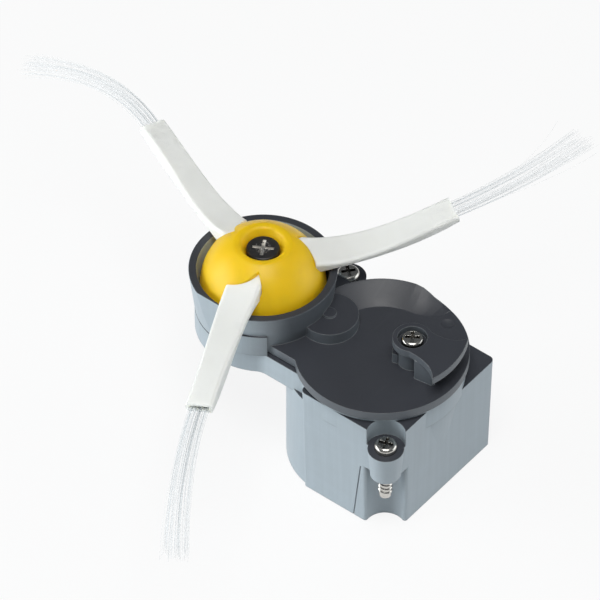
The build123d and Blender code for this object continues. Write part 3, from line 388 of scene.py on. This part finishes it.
def addBump(tree, shader, height, strength, distance, normal=None):
    bump = addNode(tree, "ShaderNodeBump", 60, -420)
    setInputs(bump, Strength=strength, Distance=distance)
    tree.links.new(height, bump.inputs["Height"])
    if normal is not None:
        tree.links.new(normal, bump.inputs["Normal"])
    tree.links.new(bump.outputs[0], shader.inputs["Normal"])


def addGlow(shader, look):
    shader.subsurface_method = "BURLEY"
    setInputs(shader, Subsurface_Weight=look["glow"], Subsurface_Radius=look["glowRadius"],
              Subsurface_Scale=1.0)


def brighten(colour, gain):
    most = 0.95
    return tuple(min(part * gain, most) for part in colour)


def dress(names, material):
    for name in names:
        mesh = cadNodes[name].data
        mesh.materials.clear()
        mesh.materials.append(material)


# Grey case: satin moulded plastic with a cool cast; upright walls are painted paler as painted light,
# corners are paler from wear and a painted edge highlight
casePlastic = {
    "colour": (0.043, 0.047, 0.058),
    "paintedWallLightColour": (0.43, 0.505, 0.555),
    "wearAndHighlightColour": (0.21, 0.23, 0.24),
    "streaks": 0.16,
    "drift": 0.1,
    "grainScale": 2600.0,
    "roughness": 0.47,
    "roughnessSpread": 0.14,
    "grainDepth": 0.00002,
    "bump": 0.35,
    "edgeWidth": 0.00032,
    "edgeBreakup": 0.45,
    "marks": 0.5,
    "scratchPaleness": 0.05,
    "smearShine": 0.08,
    "ior": 1.5,
}
casePieces = {  # fade: where along X the painted wall light goes from its palest to its darkest
    "lower_housing": {"material": "greyCaseLower", "lift": 1.0, "fade": (-0.04, 0.02), "leastPale": 0.9},
    "upper_cover": {"material": "greyCaseCover", "lift": 0.94, "fade": (-0.033, -0.023), "leastPale": 0.18},
    "base_lid": {"material": "greyCaseLid", "lift": 1.04, "fade": (-0.04, 0.02), "leastPale": 0.9},
}


def makeCasePlastic(look, piece):
    material, tree, shader = newMaterial(piece["material"])
    base = tuple(part * piece["lift"] for part in look["colour"])
    wallLightMask = useGroup(tree, paintedWallLight, -1200, 60, Streaks=look["streaks"])
    place = addNode(tree, "ShaderNodeTexCoord", -1600, 300)
    parts = addNode(tree, "ShaderNodeSeparateXYZ", -1400, 300)
    tree.links.new(place.outputs["Object"], parts.inputs[0])
    fade = spread(tree, parts.outputs["X"], piece["fade"], -1200, 300, (1.0, piece["leastPale"]))
    # painted light: upright walls get a paler colour, weaker along X by the fade
    paintedLight = mathNode(tree, "MULTIPLY", wallLightMask.outputs["Mask"], fade, -1000, 200)
    wallLitColour = blendColour(tree, paintedLight, base, look["paintedWallLightColour"], -820, 200)
    grain = useGrain(tree, look, wallLitColour)
    wearAndHighlightEdges = useEdgeWearAndHighlight(tree, look, -120)
    marks = useGroup(tree, handMarks, -620, -340, Amount=look["marks"])
    # paler corners: partly handling wear, partly a painted edge highlight
    wornAndHighlighted = blendColour(tree, wearAndHighlightEdges.outputs["Mask"], grain.outputs["Colour"], look["wearAndHighlightColour"], -320, 200)
    scratch = mathNode(tree, "MULTIPLY", marks.outputs["Scratch"], look["scratchPaleness"], -320, -40)
    scratched = blendColour(tree, scratch, wornAndHighlighted, look["wearAndHighlightColour"], -140, 200)
    smear = mathNode(tree, "MULTIPLY", marks.outputs["Smear"], -look["smearShine"], -320, -240)
    rough = mathNode(tree, "ADD", grain.outputs["Roughness"], smear, -140, -120)
    feed(tree, shader, Base_Color=scratched, Roughness=rough)
    setInputs(shader, IOR=look["ior"])
    addBump(tree, shader, grain.outputs["Height"], look["bump"], look["grainDepth"], wearAndHighlightEdges.outputs["Normal"])
    return material


for nodeName, piece in casePieces.items():
    dress([nodeName], makeCasePlastic(casePlastic, piece))
print("grey case dressed")

# Yellow hub: smooth satin plastic with a soft inner glow and a little painted shade in its hollows
hubPlastic = {
    "colour": (0.87, 0.555, 0.009),
    "hollowShadeColour": (0.87, 0.535, 0.008),
    "hollowReach": 0.004,
    "hollowSpan": (0.35, 0.9),
    "drift": 0.05,
    "grainScale": 2200.0,
    "roughness": 0.42,
    "roughnessSpread": 0.1,
    "grainDepth": 0.000015,
    "bump": 0.25,
    "edgeWidth": 0.0004,
    "edgeBreakup": 0.3,
    "specular": 0.35,
    "glow": 0.6,
    "glowRadius": (0.007, 0.0045, 0.0004),
}


def makeHubPlastic(name, look):
    material, tree, shader = newMaterial(name)
    grain = useGrain(tree, look, look["colour"])
    wearAndHighlightEdges = useEdgeWearAndHighlight(tree, look, -120)
    # painted shade: the yellow is darkened a little in hollows, following ambient occlusion
    hollow = addNode(tree, "ShaderNodeAmbientOcclusion", -620, -360, samples=6)
    setInputs(hollow, Distance=look["hollowReach"])
    shaded = spread(tree, hollow.outputs["AO"], look["hollowSpan"], -420, -360, (1.0, 0.0))
    toned = blendColour(tree, shaded, grain.outputs["Colour"], look["hollowShadeColour"], -240, 160)
    feed(tree, shader, Base_Color=toned, Roughness=grain.outputs["Roughness"])
    addGlow(shader, look)
    setInputs(shader, Specular_IOR_Level=look["specular"])
    addBump(tree, shader, grain.outputs["Height"], look["bump"], look["grainDepth"], wearAndHighlightEdges.outputs["Normal"])
    return material


dress(["brush_hub"], makeHubPlastic("yellowHub", hubPlastic))
print("hub dressed")

# Arm sleeves: milky soft plastic that scatters light inside, lightly soiled
sleeveRubber = {
    "colour": (0.89, 0.905, 0.88),
    "soilColour": (0.7, 0.7, 0.64),
    "soilShare": 0.1,
    "marks": 0.6,
    "drift": 0.06,
    "grainScale": 1700.0,
    "roughness": 0.48,
    "roughnessSpread": 0.16,
    "grainDepth": 0.00003,
    "bump": 0.3,
    "ior": 1.45,
    "glow": 0.6,
    "glowRadius": (0.0014, 0.0014, 0.0012),
}


def makeSleeveRubber(name, look):
    material, tree, shader = newMaterial(name)
    grain = useGrain(tree, look, look["colour"])
    marks = useGroup(tree, handMarks, -620, -240, Amount=look["marks"])
    soil = mathNode(tree, "MULTIPLY", marks.outputs["Smear"], look["soilShare"], -400, -60)
    soiled = blendColour(tree, soil, grain.outputs["Colour"], look["soilColour"], -240, 200)
    feed(tree, shader, Base_Color=soiled, Roughness=grain.outputs["Roughness"])
    addGlow(shader, look)
    setInputs(shader, IOR=look["ior"])
    addBump(tree, shader, grain.outputs["Height"], look["bump"], look["grainDepth"])
    return material


sleeveNames = ["arm_sleeve_right", "arm_sleeve_left", "arm_sleeve_front"]
dress(sleeveNames, makeSleeveRubber("milkySleeve", sleeveRubber))
print("sleeves dressed")

# Metals of the screws, the motor and the gear train
turnedSteel = {
    "edgeWidth": 0.00012,
    "edgeBreakup": 0.4,
    "wearAndHighlightGain": 1.25,
    "hollowReach": 0.0014,
    "hollowSpan": (0.8, 0.45),
    "hollowShadeTone": 0.2,
    "bump": 0.3,
    "ringDepth": 0.00001,
    "wireDepth": 0.00003,
}
metalFinishes = {
    "nickel": {"colour": (0.60, 0.585, 0.55), "tarnish": (0.30, 0.28, 0.25), "rings": 5200.0,
               "roughness": 0.16, "hollowShade": 0.8},
    "can": {"colour": (0.52, 0.53, 0.55), "tarnish": (0.33, 0.33, 0.34), "rings": 2500.0,
            "roughness": 0.28, "hollowShade": 0.0},
    "shaft": {"colour": (0.62, 0.62, 0.63), "tarnish": (0.4, 0.4, 0.41), "rings": 7000.0,
              "roughness": 0.14, "hollowShade": 0.0},
    "core": {"colour": (0.28, 0.27, 0.27), "tarnish": (0.12, 0.1, 0.09), "rings": 3000.0,
             "roughness": 0.38, "hollowShade": 0.0},
    "copper": {"colour": (0.62, 0.25, 0.12), "tarnish": (0.3, 0.1, 0.05), "rings": 6000.0,
               "roughness": 0.26, "hollowShade": 0.0},
    "brass": {"colour": (0.66, 0.49, 0.2), "tarnish": (0.36, 0.24, 0.09), "rings": 6000.0,
              "roughness": 0.28, "hollowShade": 0.0},
    "contact": {"colour": (0.7, 0.62, 0.42), "tarnish": (0.42, 0.35, 0.22), "rings": 5000.0,
                "roughness": 0.22, "hollowShade": 0.0},
}
metalPieces = {
    "cover_screw": "nickel",
    "case_screw": "nickel",
    "motor_can": "can",
    "motor_shaft": "shaft",
    "first_axle": "shaft",
    "second_axle": "shaft",
    "spindle": "shaft",
    "armature": "core",
    "windings": "copper",
    "commutator": "copper",
    "motor_bush": "brass",
    "spindle_bush": "brass",
    "motor_pinion": "brass",
    "contact_plates": "contact",
    "motor_terminals": "contact",
}
mountingScrews = {  # each screw's axis, and where its thread begins and ends
    "front": {"x": 0.0107, "y": -0.0183, "top": 0.0187, "foot": 0.0125},
    "back": {"x": -0.028, "y": 0.0162, "top": 0.025, "foot": 0.0188},
}


def makeTurnedSteel(name, look, finish, axis, depth):
    material, tree, shader = newMaterial(name)
    turned = useTurning(tree, finish, axis, -620)
    wearAndHighlightEdges = useEdgeWearAndHighlight(tree, look, -160)
    bright = brighten(finish["colour"], look["wearAndHighlightGain"])
    # brighter edges: partly polishing wear, partly a painted edge highlight
    edgeWornAndHighlighted = blendColour(tree, wearAndHighlightEdges.outputs["Mask"], turned.outputs["Colour"], bright, -260, 200)
    # painted shade: the metal is darkened towards a dark tarnish colour in hollows, following ambient
    # occlusion
    hollow = addNode(tree, "ShaderNodeAmbientOcclusion", -620, -420, samples=8)
    setInputs(hollow, Distance=look["hollowReach"])
    deep = spread(tree, hollow.outputs["AO"], look["hollowSpan"], -420, -420, (0.0, finish["hollowShade"]))
    dark = tuple(part * look["hollowShadeTone"] for part in finish["tarnish"])
    hollowShaded = blendColour(tree, deep, edgeWornAndHighlighted, dark, -100, 200)
    feed(tree, shader, Base_Color=hollowShaded, Roughness=turned.outputs["Roughness"])
    setInputs(shader, Metallic=1.0)
    addBump(tree, shader, turned.outputs["Height"], look["bump"], depth, wearAndHighlightEdges.outputs["Normal"])
    return material


def dressMetal(nodeName, finish, axis, depth):
    name = finish + "Metal" + nodeName.title().replace("_", "")
    dress([nodeName], makeTurnedSteel(name, turnedSteel, metalFinishes[finish], axis, depth))


def nodeAxis(name):
    low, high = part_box(name)
    return tuple((low + high) / 2)


frontScrew = mountingScrews["front"]
dressMetal("mounting_screws", "nickel", (frontScrew["x"], frontScrew["y"], 0.0), turnedSteel["ringDepth"])
for nodeName, finish in metalPieces.items():
    depth = turnedSteel["wireDepth" if nodeName == "windings" else "ringDepth"]
    dressMetal(nodeName, finish, nodeAxis(nodeName), depth)

# Plain mouldings inside the case: what a piece doesn't say is as in the first dictionary
plainMoulding = {
    "drift": 0.08,
    "grainScale": 2400.0,
    "roughnessSpread": 0.14,
    "grainDepth": 0.00002,
    "bump": 0.35,
    "edgeWidth": 0.0002,
    "edgeBreakup": 0.5,
    "wearAndHighlightGain": 1.35,
}
innerMouldings = {
    "sinteredMagnet": {
        "nodes": ["motor_magnets"],
        "colour": (0.055, 0.052, 0.05),
        "roughness": 0.62,
        "drift": 0.2,
        "grainScale": 1500.0,
        "grainDepth": 0.00004,
    },
    "ivoryEndCap": {
        "nodes": ["motor_end_cap"],
        "colour": (0.62, 0.6, 0.53),
        "roughness": 0.45,
    },
    "whiteGearPlastic": {
        "nodes": ["first_gear", "second_gear", "output_gear"],
        "colour": (0.74, 0.74, 0.7),
        "roughness": 0.4,
    },
    "greyFelt": {
        "nodes": ["shaft_seal"],
        "colour": (0.3, 0.3, 0.29),
        "roughness": 0.85,
        "drift": 0.3,
        "grainScale": 1100.0,
        "grainDepth": 0.0001,
    },
}


def makePlainMoulding(name, look):
    material, tree, shader = newMaterial(name)
    grain = useGrain(tree, look, look["colour"])
    wearAndHighlightEdges = useEdgeWearAndHighlight(tree, look, -160)
    bright = brighten(look["colour"], look["wearAndHighlightGain"])
    # brighter edges: partly handling wear, partly a painted edge highlight
    wornAndHighlighted = blendColour(tree, wearAndHighlightEdges.outputs["Mask"], grain.outputs["Colour"], bright, -260, 200)
    feed(tree, shader, Base_Color=wornAndHighlighted, Roughness=grain.outputs["Roughness"])
    addBump(tree, shader, grain.outputs["Height"], look["bump"], look["grainDepth"], wearAndHighlightEdges.outputs["Normal"])
    return material


for name, piece in innerMouldings.items():
    dress(piece["nodes"], makePlainMoulding(name, {**plainMoulding, **piece}))
print("metals and inner pieces dressed")

# Brush screw: black finish, bright metal where the driver has scraped the cross
brushScrew = {
    "colour": (0.02, 0.02, 0.021),
    "tarnish": (0.05, 0.05, 0.052),
    "rings": 4200.0,
    "roughness": 0.28,
    "scraped": (0.88, 0.86, 0.82),
    "crossDepth": (-0.00005, -0.0002),
    "scrapeReach": 0.0034,
    "scrapeCore": 0.8,  # share of the reach that is scraped in full
    "scrapePatches": (0.32, 0.46),
    "scrapeLeast": 0.1,
    "nickReach": 0.0021,
    "nickCore": 0.5,
    "nickPatches": (0.52, 0.56),
    "bump": 0.2,
    "scrapeDepth": 0.00004,
}


def makeBrushScrew(name, look):
    material, tree, shader = newMaterial(name)
    axis = nodeAxis("brush_screw")
    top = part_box("brush_screw")[1].z
    turned = useTurning(tree, look, axis, -820)
    place = addNode(tree, "ShaderNodeTexCoord", -1200, -360).outputs["Object"]
    away = addNode(tree, "ShaderNodeVectorMath", -1000, -360, operation="SUBTRACT")
    away.inputs[1].default_value = (axis[0], axis[1], top)
    tree.links.new(place, away.inputs[0])
    parts = addNode(tree, "ShaderNodeSeparateXYZ", -820, -120)
    tree.links.new(away.outputs[0], parts.inputs[0])
    deep = spread(tree, parts.outputs["Z"], look["crossDepth"], -600, -120)
    length = addNode(tree, "ShaderNodeVectorMath", -820, -360, operation="LENGTH")
    tree.links.new(away.outputs[0], length.inputs[0])
    scrapeSpan = (look["scrapeReach"], look["scrapeReach"] * look["scrapeCore"])
    near = spread(tree, length.outputs["Value"], scrapeSpan, -600, -360)
    chatter = addNoise(tree, place, -820, -600, Scale=1500.0, Detail=4.0, Distortion=1.5)
    patchy = spread(tree, chatter.outputs[0], look["scrapePatches"], -600, -600, (look["scrapeLeast"], 1.0))
    reached = mathNode(tree, "MULTIPLY", deep, near, -400, -240)
    cross = mathNode(tree, "MULTIPLY", reached, patchy, -220, -300)
    nickSpan = (look["nickReach"], look["nickReach"] * look["nickCore"])
    close = spread(tree, length.outputs["Value"], nickSpan, -600, -840)
    nicks = spread(tree, chatter.outputs[0], look["nickPatches"], -600, -1080)
    scuffs = mathNode(tree, "MULTIPLY", close, nicks, -400, -900)
    scraped = mathNode(tree, "MAXIMUM", cross, scuffs, -120, -400)
    toned = blendColour(tree, scraped, turned.outputs["Colour"], look["scraped"], -40, 200)
    feed(tree, shader, Base_Color=toned, Metallic=scraped, Roughness=turned.outputs["Roughness"])
    addBump(tree, shader, chatter.outputs[0], look["bump"], look["scrapeDepth"])
    return material


dress(["brush_screw"], makeBrushScrew("blackBrushScrew", brushScrew))

# Screw threads: a helical ridge on the plain shank of each mounting screw
screwThread = {
    "pitch": 1.25 * mm,
    "rootRadius": 1.36 * mm,
    "crestRadius": 1.72 * mm,
    "stepsPerTurn": 28,
    "halfRidge": 0.3,  # share of the pitch
    "halfCrest": 0.16,  # share of the half ridge
    "runIn": 2,
    "runOut": 1.4,
    "leastCrest": 0.02,
}


def buildThread(name, screw, look):
    height = screw["top"] - screw["foot"]
    turns = height / look["pitch"]
    steps = int(turns * look["stepsPerTurn"])
    half = look["pitch"] * look["halfRidge"]
    flat = half * look["halfCrest"]
    root = look["rootRadius"]
    points = []
    faces = []
    for step in range(steps + 1):
        share = step / steps
        angle = share * turns * 2 * math.pi
        z = screw["top"] - share * height
        fade = min(1.0, share * turns * look["runIn"], (1 - share) * turns * look["runOut"])
        crest = root + (look["crestRadius"] - root) * max(fade, look["leastCrest"])
        profile = ((root, half), (crest, flat), (crest, -flat), (root, -half))
        for radius, lift in profile:
            x = screw["x"] + radius * math.cos(angle)
            y = screw["y"] + radius * math.sin(angle)
            points.append((x, y, z + lift))
        if step:
            corners = len(profile)
            first = (step - 1) * corners
            for side in range(first, first + corners - 1):
                faces.append((side, side + 1, side + 1 + corners, side + corners))
    thread = addMesh(name, points, faces)
    thread.data.materials.append(cadNodes["mounting_screws"].data.materials[0])
    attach(thread, "housing")


for screwName, screw in mountingScrews.items():
    buildThread(screwName + "ScrewThread", screw, screwThread)
print("screws dressed")

# Bristles: a flat bundle of nylon filaments clamped in each sleeve
bristles = {
    "count": 72,
    "radius": 0.06 * mm,
    "taper": 0.35,
    "sides": 4,
    "stations": 11,
    "rootWidth": 4.7 * mm,
    "tipWidth": 6.6 * mm,
    "rootDepth": 1.1 * mm,
    "tipDepth": 2.6 * mm,
    "fanning": 1.3,
    "hidden": 3.5 * mm,
    "ragged": 0.055,
    "raggedLonger": 0.5,  # share of it by which a filament may stand out
    "sway": 0.35,
    "swayTurn": 5,
    "swayPhase": 6.28,
    "stray": 2.4,
    "strayChance": 0.06,
    "strayLift": 0.4,
    "colour": (0.90, 0.93, 0.94),
    "shade": (0.82, 0.89, 0.93),
    "drift": 0.1,
    "grainScale": 900.0,
    "roughness": 0.3,
    "roughnessSpread": 0.2,
    "ior": 1.3,
    "cover": 0.2,
}
tufts = {  # in millimetres: the sleeve's mouth, the pull of the curve and the tip
    "right": {
        "node": "tuft_right",
        "start": (-10.21, 34.53, 54.0),
        "bend": (-0.21, 52.02, 57.99),
        "tip": (-1.84, 74.7, 52.0),
        "seed": 11,
    },
    "left": {
        "node": "tuft_left",
        "start": (-85.05, 11.28, 54.0),
        "bend": (-102.99, 17.87, 57.52),
        "tip": (-123.84, 9.83, 52.0),
        "seed": 23,
    },
    "front": {
        "node": "tuft_front",
        "start": (-19.97, -50.72, 48.6),
        "bend": (-12.21, -68.25, 47.95),
        "tip": (-1.84, -82.1, 36.0),
        "seed": 37,
    },
}


def makeBristleNylon(name, look):
    material, tree, shader = newMaterial(name)
    tone = addNode(tree, "ShaderNodeAttribute", -620, 200, attribute_name="strandTone")
    grain = useGrain(tree, look, look["colour"], -60)
    toned = blendColour(tree, tone.outputs["Fac"], look["shade"], grain.outputs["Colour"], -300, 200)
    feed(tree, shader, Base_Color=toned, Roughness=grain.outputs["Roughness"])
    setInputs(shader, Alpha=look["cover"], IOR=look["ior"])
    return material


def buildTuft(name, tuft, look, material):
    chance = random.Random(tuft["seed"])
    start, bend, tip = (Vector(tuft[key]) * mm for key in ("start", "bend", "tip"))
    heading = (bend - start).normalized()
    points = []
    faces = []
    tones = []
    for _ in range(look["count"]):
        side = chance.uniform(-1, 1)
        deep = chance.uniform(-1, 1)
        reach = 1 + chance.uniform(-look["ragged"], look["ragged"] * look["raggedLonger"])
        swayA = chance.gauss(0, look["sway"]) * mm
        swayB = chance.gauss(0, look["sway"]) * mm
        phase = chance.uniform(0, look["swayPhase"])
        tone = chance.uniform(0, 1)
        stray = chance.gauss(0, look["stray"]) * mm if chance.random() < look["strayChance"] else 0.0
        ring = None
        for station in range(look["stations"]):
            part = station / (look["stations"] - 1) * reach
            centre = start * (1 - part) ** 2 + bend * (2 * part * (1 - part)) + tip * part ** 2
            ahead = ((bend - start) * (1 - part) + (tip - bend) * part).normalized()
            wide = Vector((0, 0, 1)).cross(ahead).normalized()
            up = ahead.cross(wide)
            fan = part ** look["fanning"]
            width = look["rootWidth"] + (look["tipWidth"] - look["rootWidth"]) * fan
            depth = look["rootDepth"] + (look["tipDepth"] - look["rootDepth"]) * fan
            if station == 0:
                centre = start - heading * look["hidden"]
            wave = math.sin(part * look["swayTurn"] + phase) * part
            spot = centre + wide * (side * width / 2 + swayA * wave + stray * part ** 2)
            spot += up * (deep * depth / 2 + swayB * wave + stray * look["strayLift"] * part ** 2)
            thick = look["radius"] * (1 - look["taper"] * part)
            first = len(points)
            for corner in range(look["sides"]):
                turn = 2 * math.pi * corner / look["sides"]
                points.append(spot + (wide * math.cos(turn) + up * math.sin(turn)) * thick)
                tones.append(tone)
            if ring is not None:
                for corner in range(look["sides"]):
                    after = (corner + 1) % look["sides"]
                    faces.append((ring + corner, ring + after, first + after, first + corner))
            ring = first
        faces.append(tuple(range(ring, ring + look["sides"])))
    piece = addMesh(name, points, faces)
    piece.data.shade_smooth()
    attribute = piece.data.attributes.new("strandTone", "FLOAT", "POINT")
    attribute.data.foreach_set("value", tones)
    piece.data.materials.append(material)
    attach(piece, "brush")
    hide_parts(tuft["node"])


bristleNylon = makeBristleNylon("bristleNylon", bristles)
for tuftName, tuft in tufts.items():
    buildTuft("bristles_" + tuftName, tuft, bristles, bristleNylon)
    dress([tuft["node"]], bristleNylon)
print("bristles built:", bristles["count"], "a tuft")

# Studio: pale floor, a soft box on each side and a stronger one overhead
studio = {
    "floorColour": (0.86, 0.87, 0.88),
    "floorReach": 4.0,
    "floorDrop": 0.0002,
    "floorWhite": 0.86,  # share of plain white where the floor is looked at
    "skyColour": (0.90, 0.95, 1.0),
    "skyStrength": 0.12,
    "lampTarget": (-0.025, 0.0, 0.035),
}
softBoxes = {
    "left": {
        "direction": (-0.72, -0.66, 0.2),
        "distance": 0.75,
        "size": (0.6, 0.4),
        "power": 4.3,
        "colour": (0.95, 0.98, 1.0),
    },
    "right": {
        "direction": (0.74, 0.66, 0.22),
        "distance": 0.75,
        "size": (0.6, 0.4),
        "power": 1.5,
        "colour": (0.95, 0.98, 1.0),
    },
    "over": {
        "direction": (0.2, -0.26, 0.94),
        "distance": 1.0,
        "size": (0.5, 0.5),
        "power": 6.4,
        "colour": (1.0, 0.99, 0.97),
    },
}


def blendShaders(tree, share, first, second, end, x):
    blend = addNode(tree, "ShaderNodeMixShader", x, 0)
    for index, source in enumerate((share, first.outputs[0], second.outputs[0])):
        tree.links.new(source, blend.inputs[index])
    tree.links.new(blend.outputs[0], end.inputs[0])


def buildFloor(look, level):
    far = look["floorReach"]
    points = [(-far, -far, level), (far, -far, level), (far, far, level), (-far, far, level)]
    floor = addMesh("paleFloor", points, [(0, 1, 2, 3)])
    material = bpy.data.materials.new("paleFloor")
    material.use_nodes = True
    tree = material.node_tree
    tree.nodes.clear()
    end = addNode(tree, "ShaderNodeOutputMaterial", 600, 0)
    paper = addNode(tree, "ShaderNodeBsdfDiffuse", 0, 120)
    paper.inputs["Color"].default_value = (*look["floorColour"], 1)
    white = addNode(tree, "ShaderNodeEmission", 0, -80)
    path = addNode(tree, "ShaderNodeLightPath", -500, 0)
    seen = mathNode(tree, "ADD", path.outputs["Is Camera Ray"], path.outputs["Is Glossy Ray"], -300, 60)
    seen = mathNode(tree, "ADD", seen, path.outputs["Is Transmission Ray"], -140, 60)
    seen = mathNode(tree, "MINIMUM", seen, 1.0, 0, 260)
    share = mathNode(tree, "MULTIPLY", seen, look["floorWhite"], 160, 260)
    blendShaders(tree, share, paper, white, end, 360)
    floor.data.materials.append(material)


def buildSky(look):
    world = bpy.data.worlds.new("studioSky")
    bpy.context.scene.world = world
    world.use_nodes = True
    tree = world.node_tree
    tree.nodes.clear()
    end = addNode(tree, "ShaderNodeOutputWorld", 700, 0)
    dim = addNode(tree, "ShaderNodeBackground", 200, 100)
    dim.inputs["Color"].default_value = (*look["skyColour"], 1)
    dim.inputs["Strength"].default_value = look["skyStrength"]
    backdrop = addNode(tree, "ShaderNodeBackground", 200, -60)
    path = addNode(tree, "ShaderNodeLightPath", -200, 0)
    seen = mathNode(tree, "ADD", path.outputs["Is Camera Ray"], path.outputs["Is Transmission Ray"], 0, 0)
    share = mathNode(tree, "MINIMUM", seen, 1.0, 120, 260)
    blendShaders(tree, share, dim, backdrop, end, 460)


def hangLight(name, look, target):
    data = bpy.data.lights.new(name, "AREA")
    data.shape = "RECTANGLE"
    data.size, data.size_y = look["size"]
    data.energy = look["power"]
    data.color = look["colour"]
    standBack(addObject(name, data), target, Vector(look["direction"]).normalized(), look["distance"])


buildFloor(studio, cadBox[0][2] - studio["floorDrop"])
buildSky(studio)
for side, softBox in softBoxes.items():
    hangLight(side + "SoftBox", softBox, studio["lampTarget"])
print("studio ready")
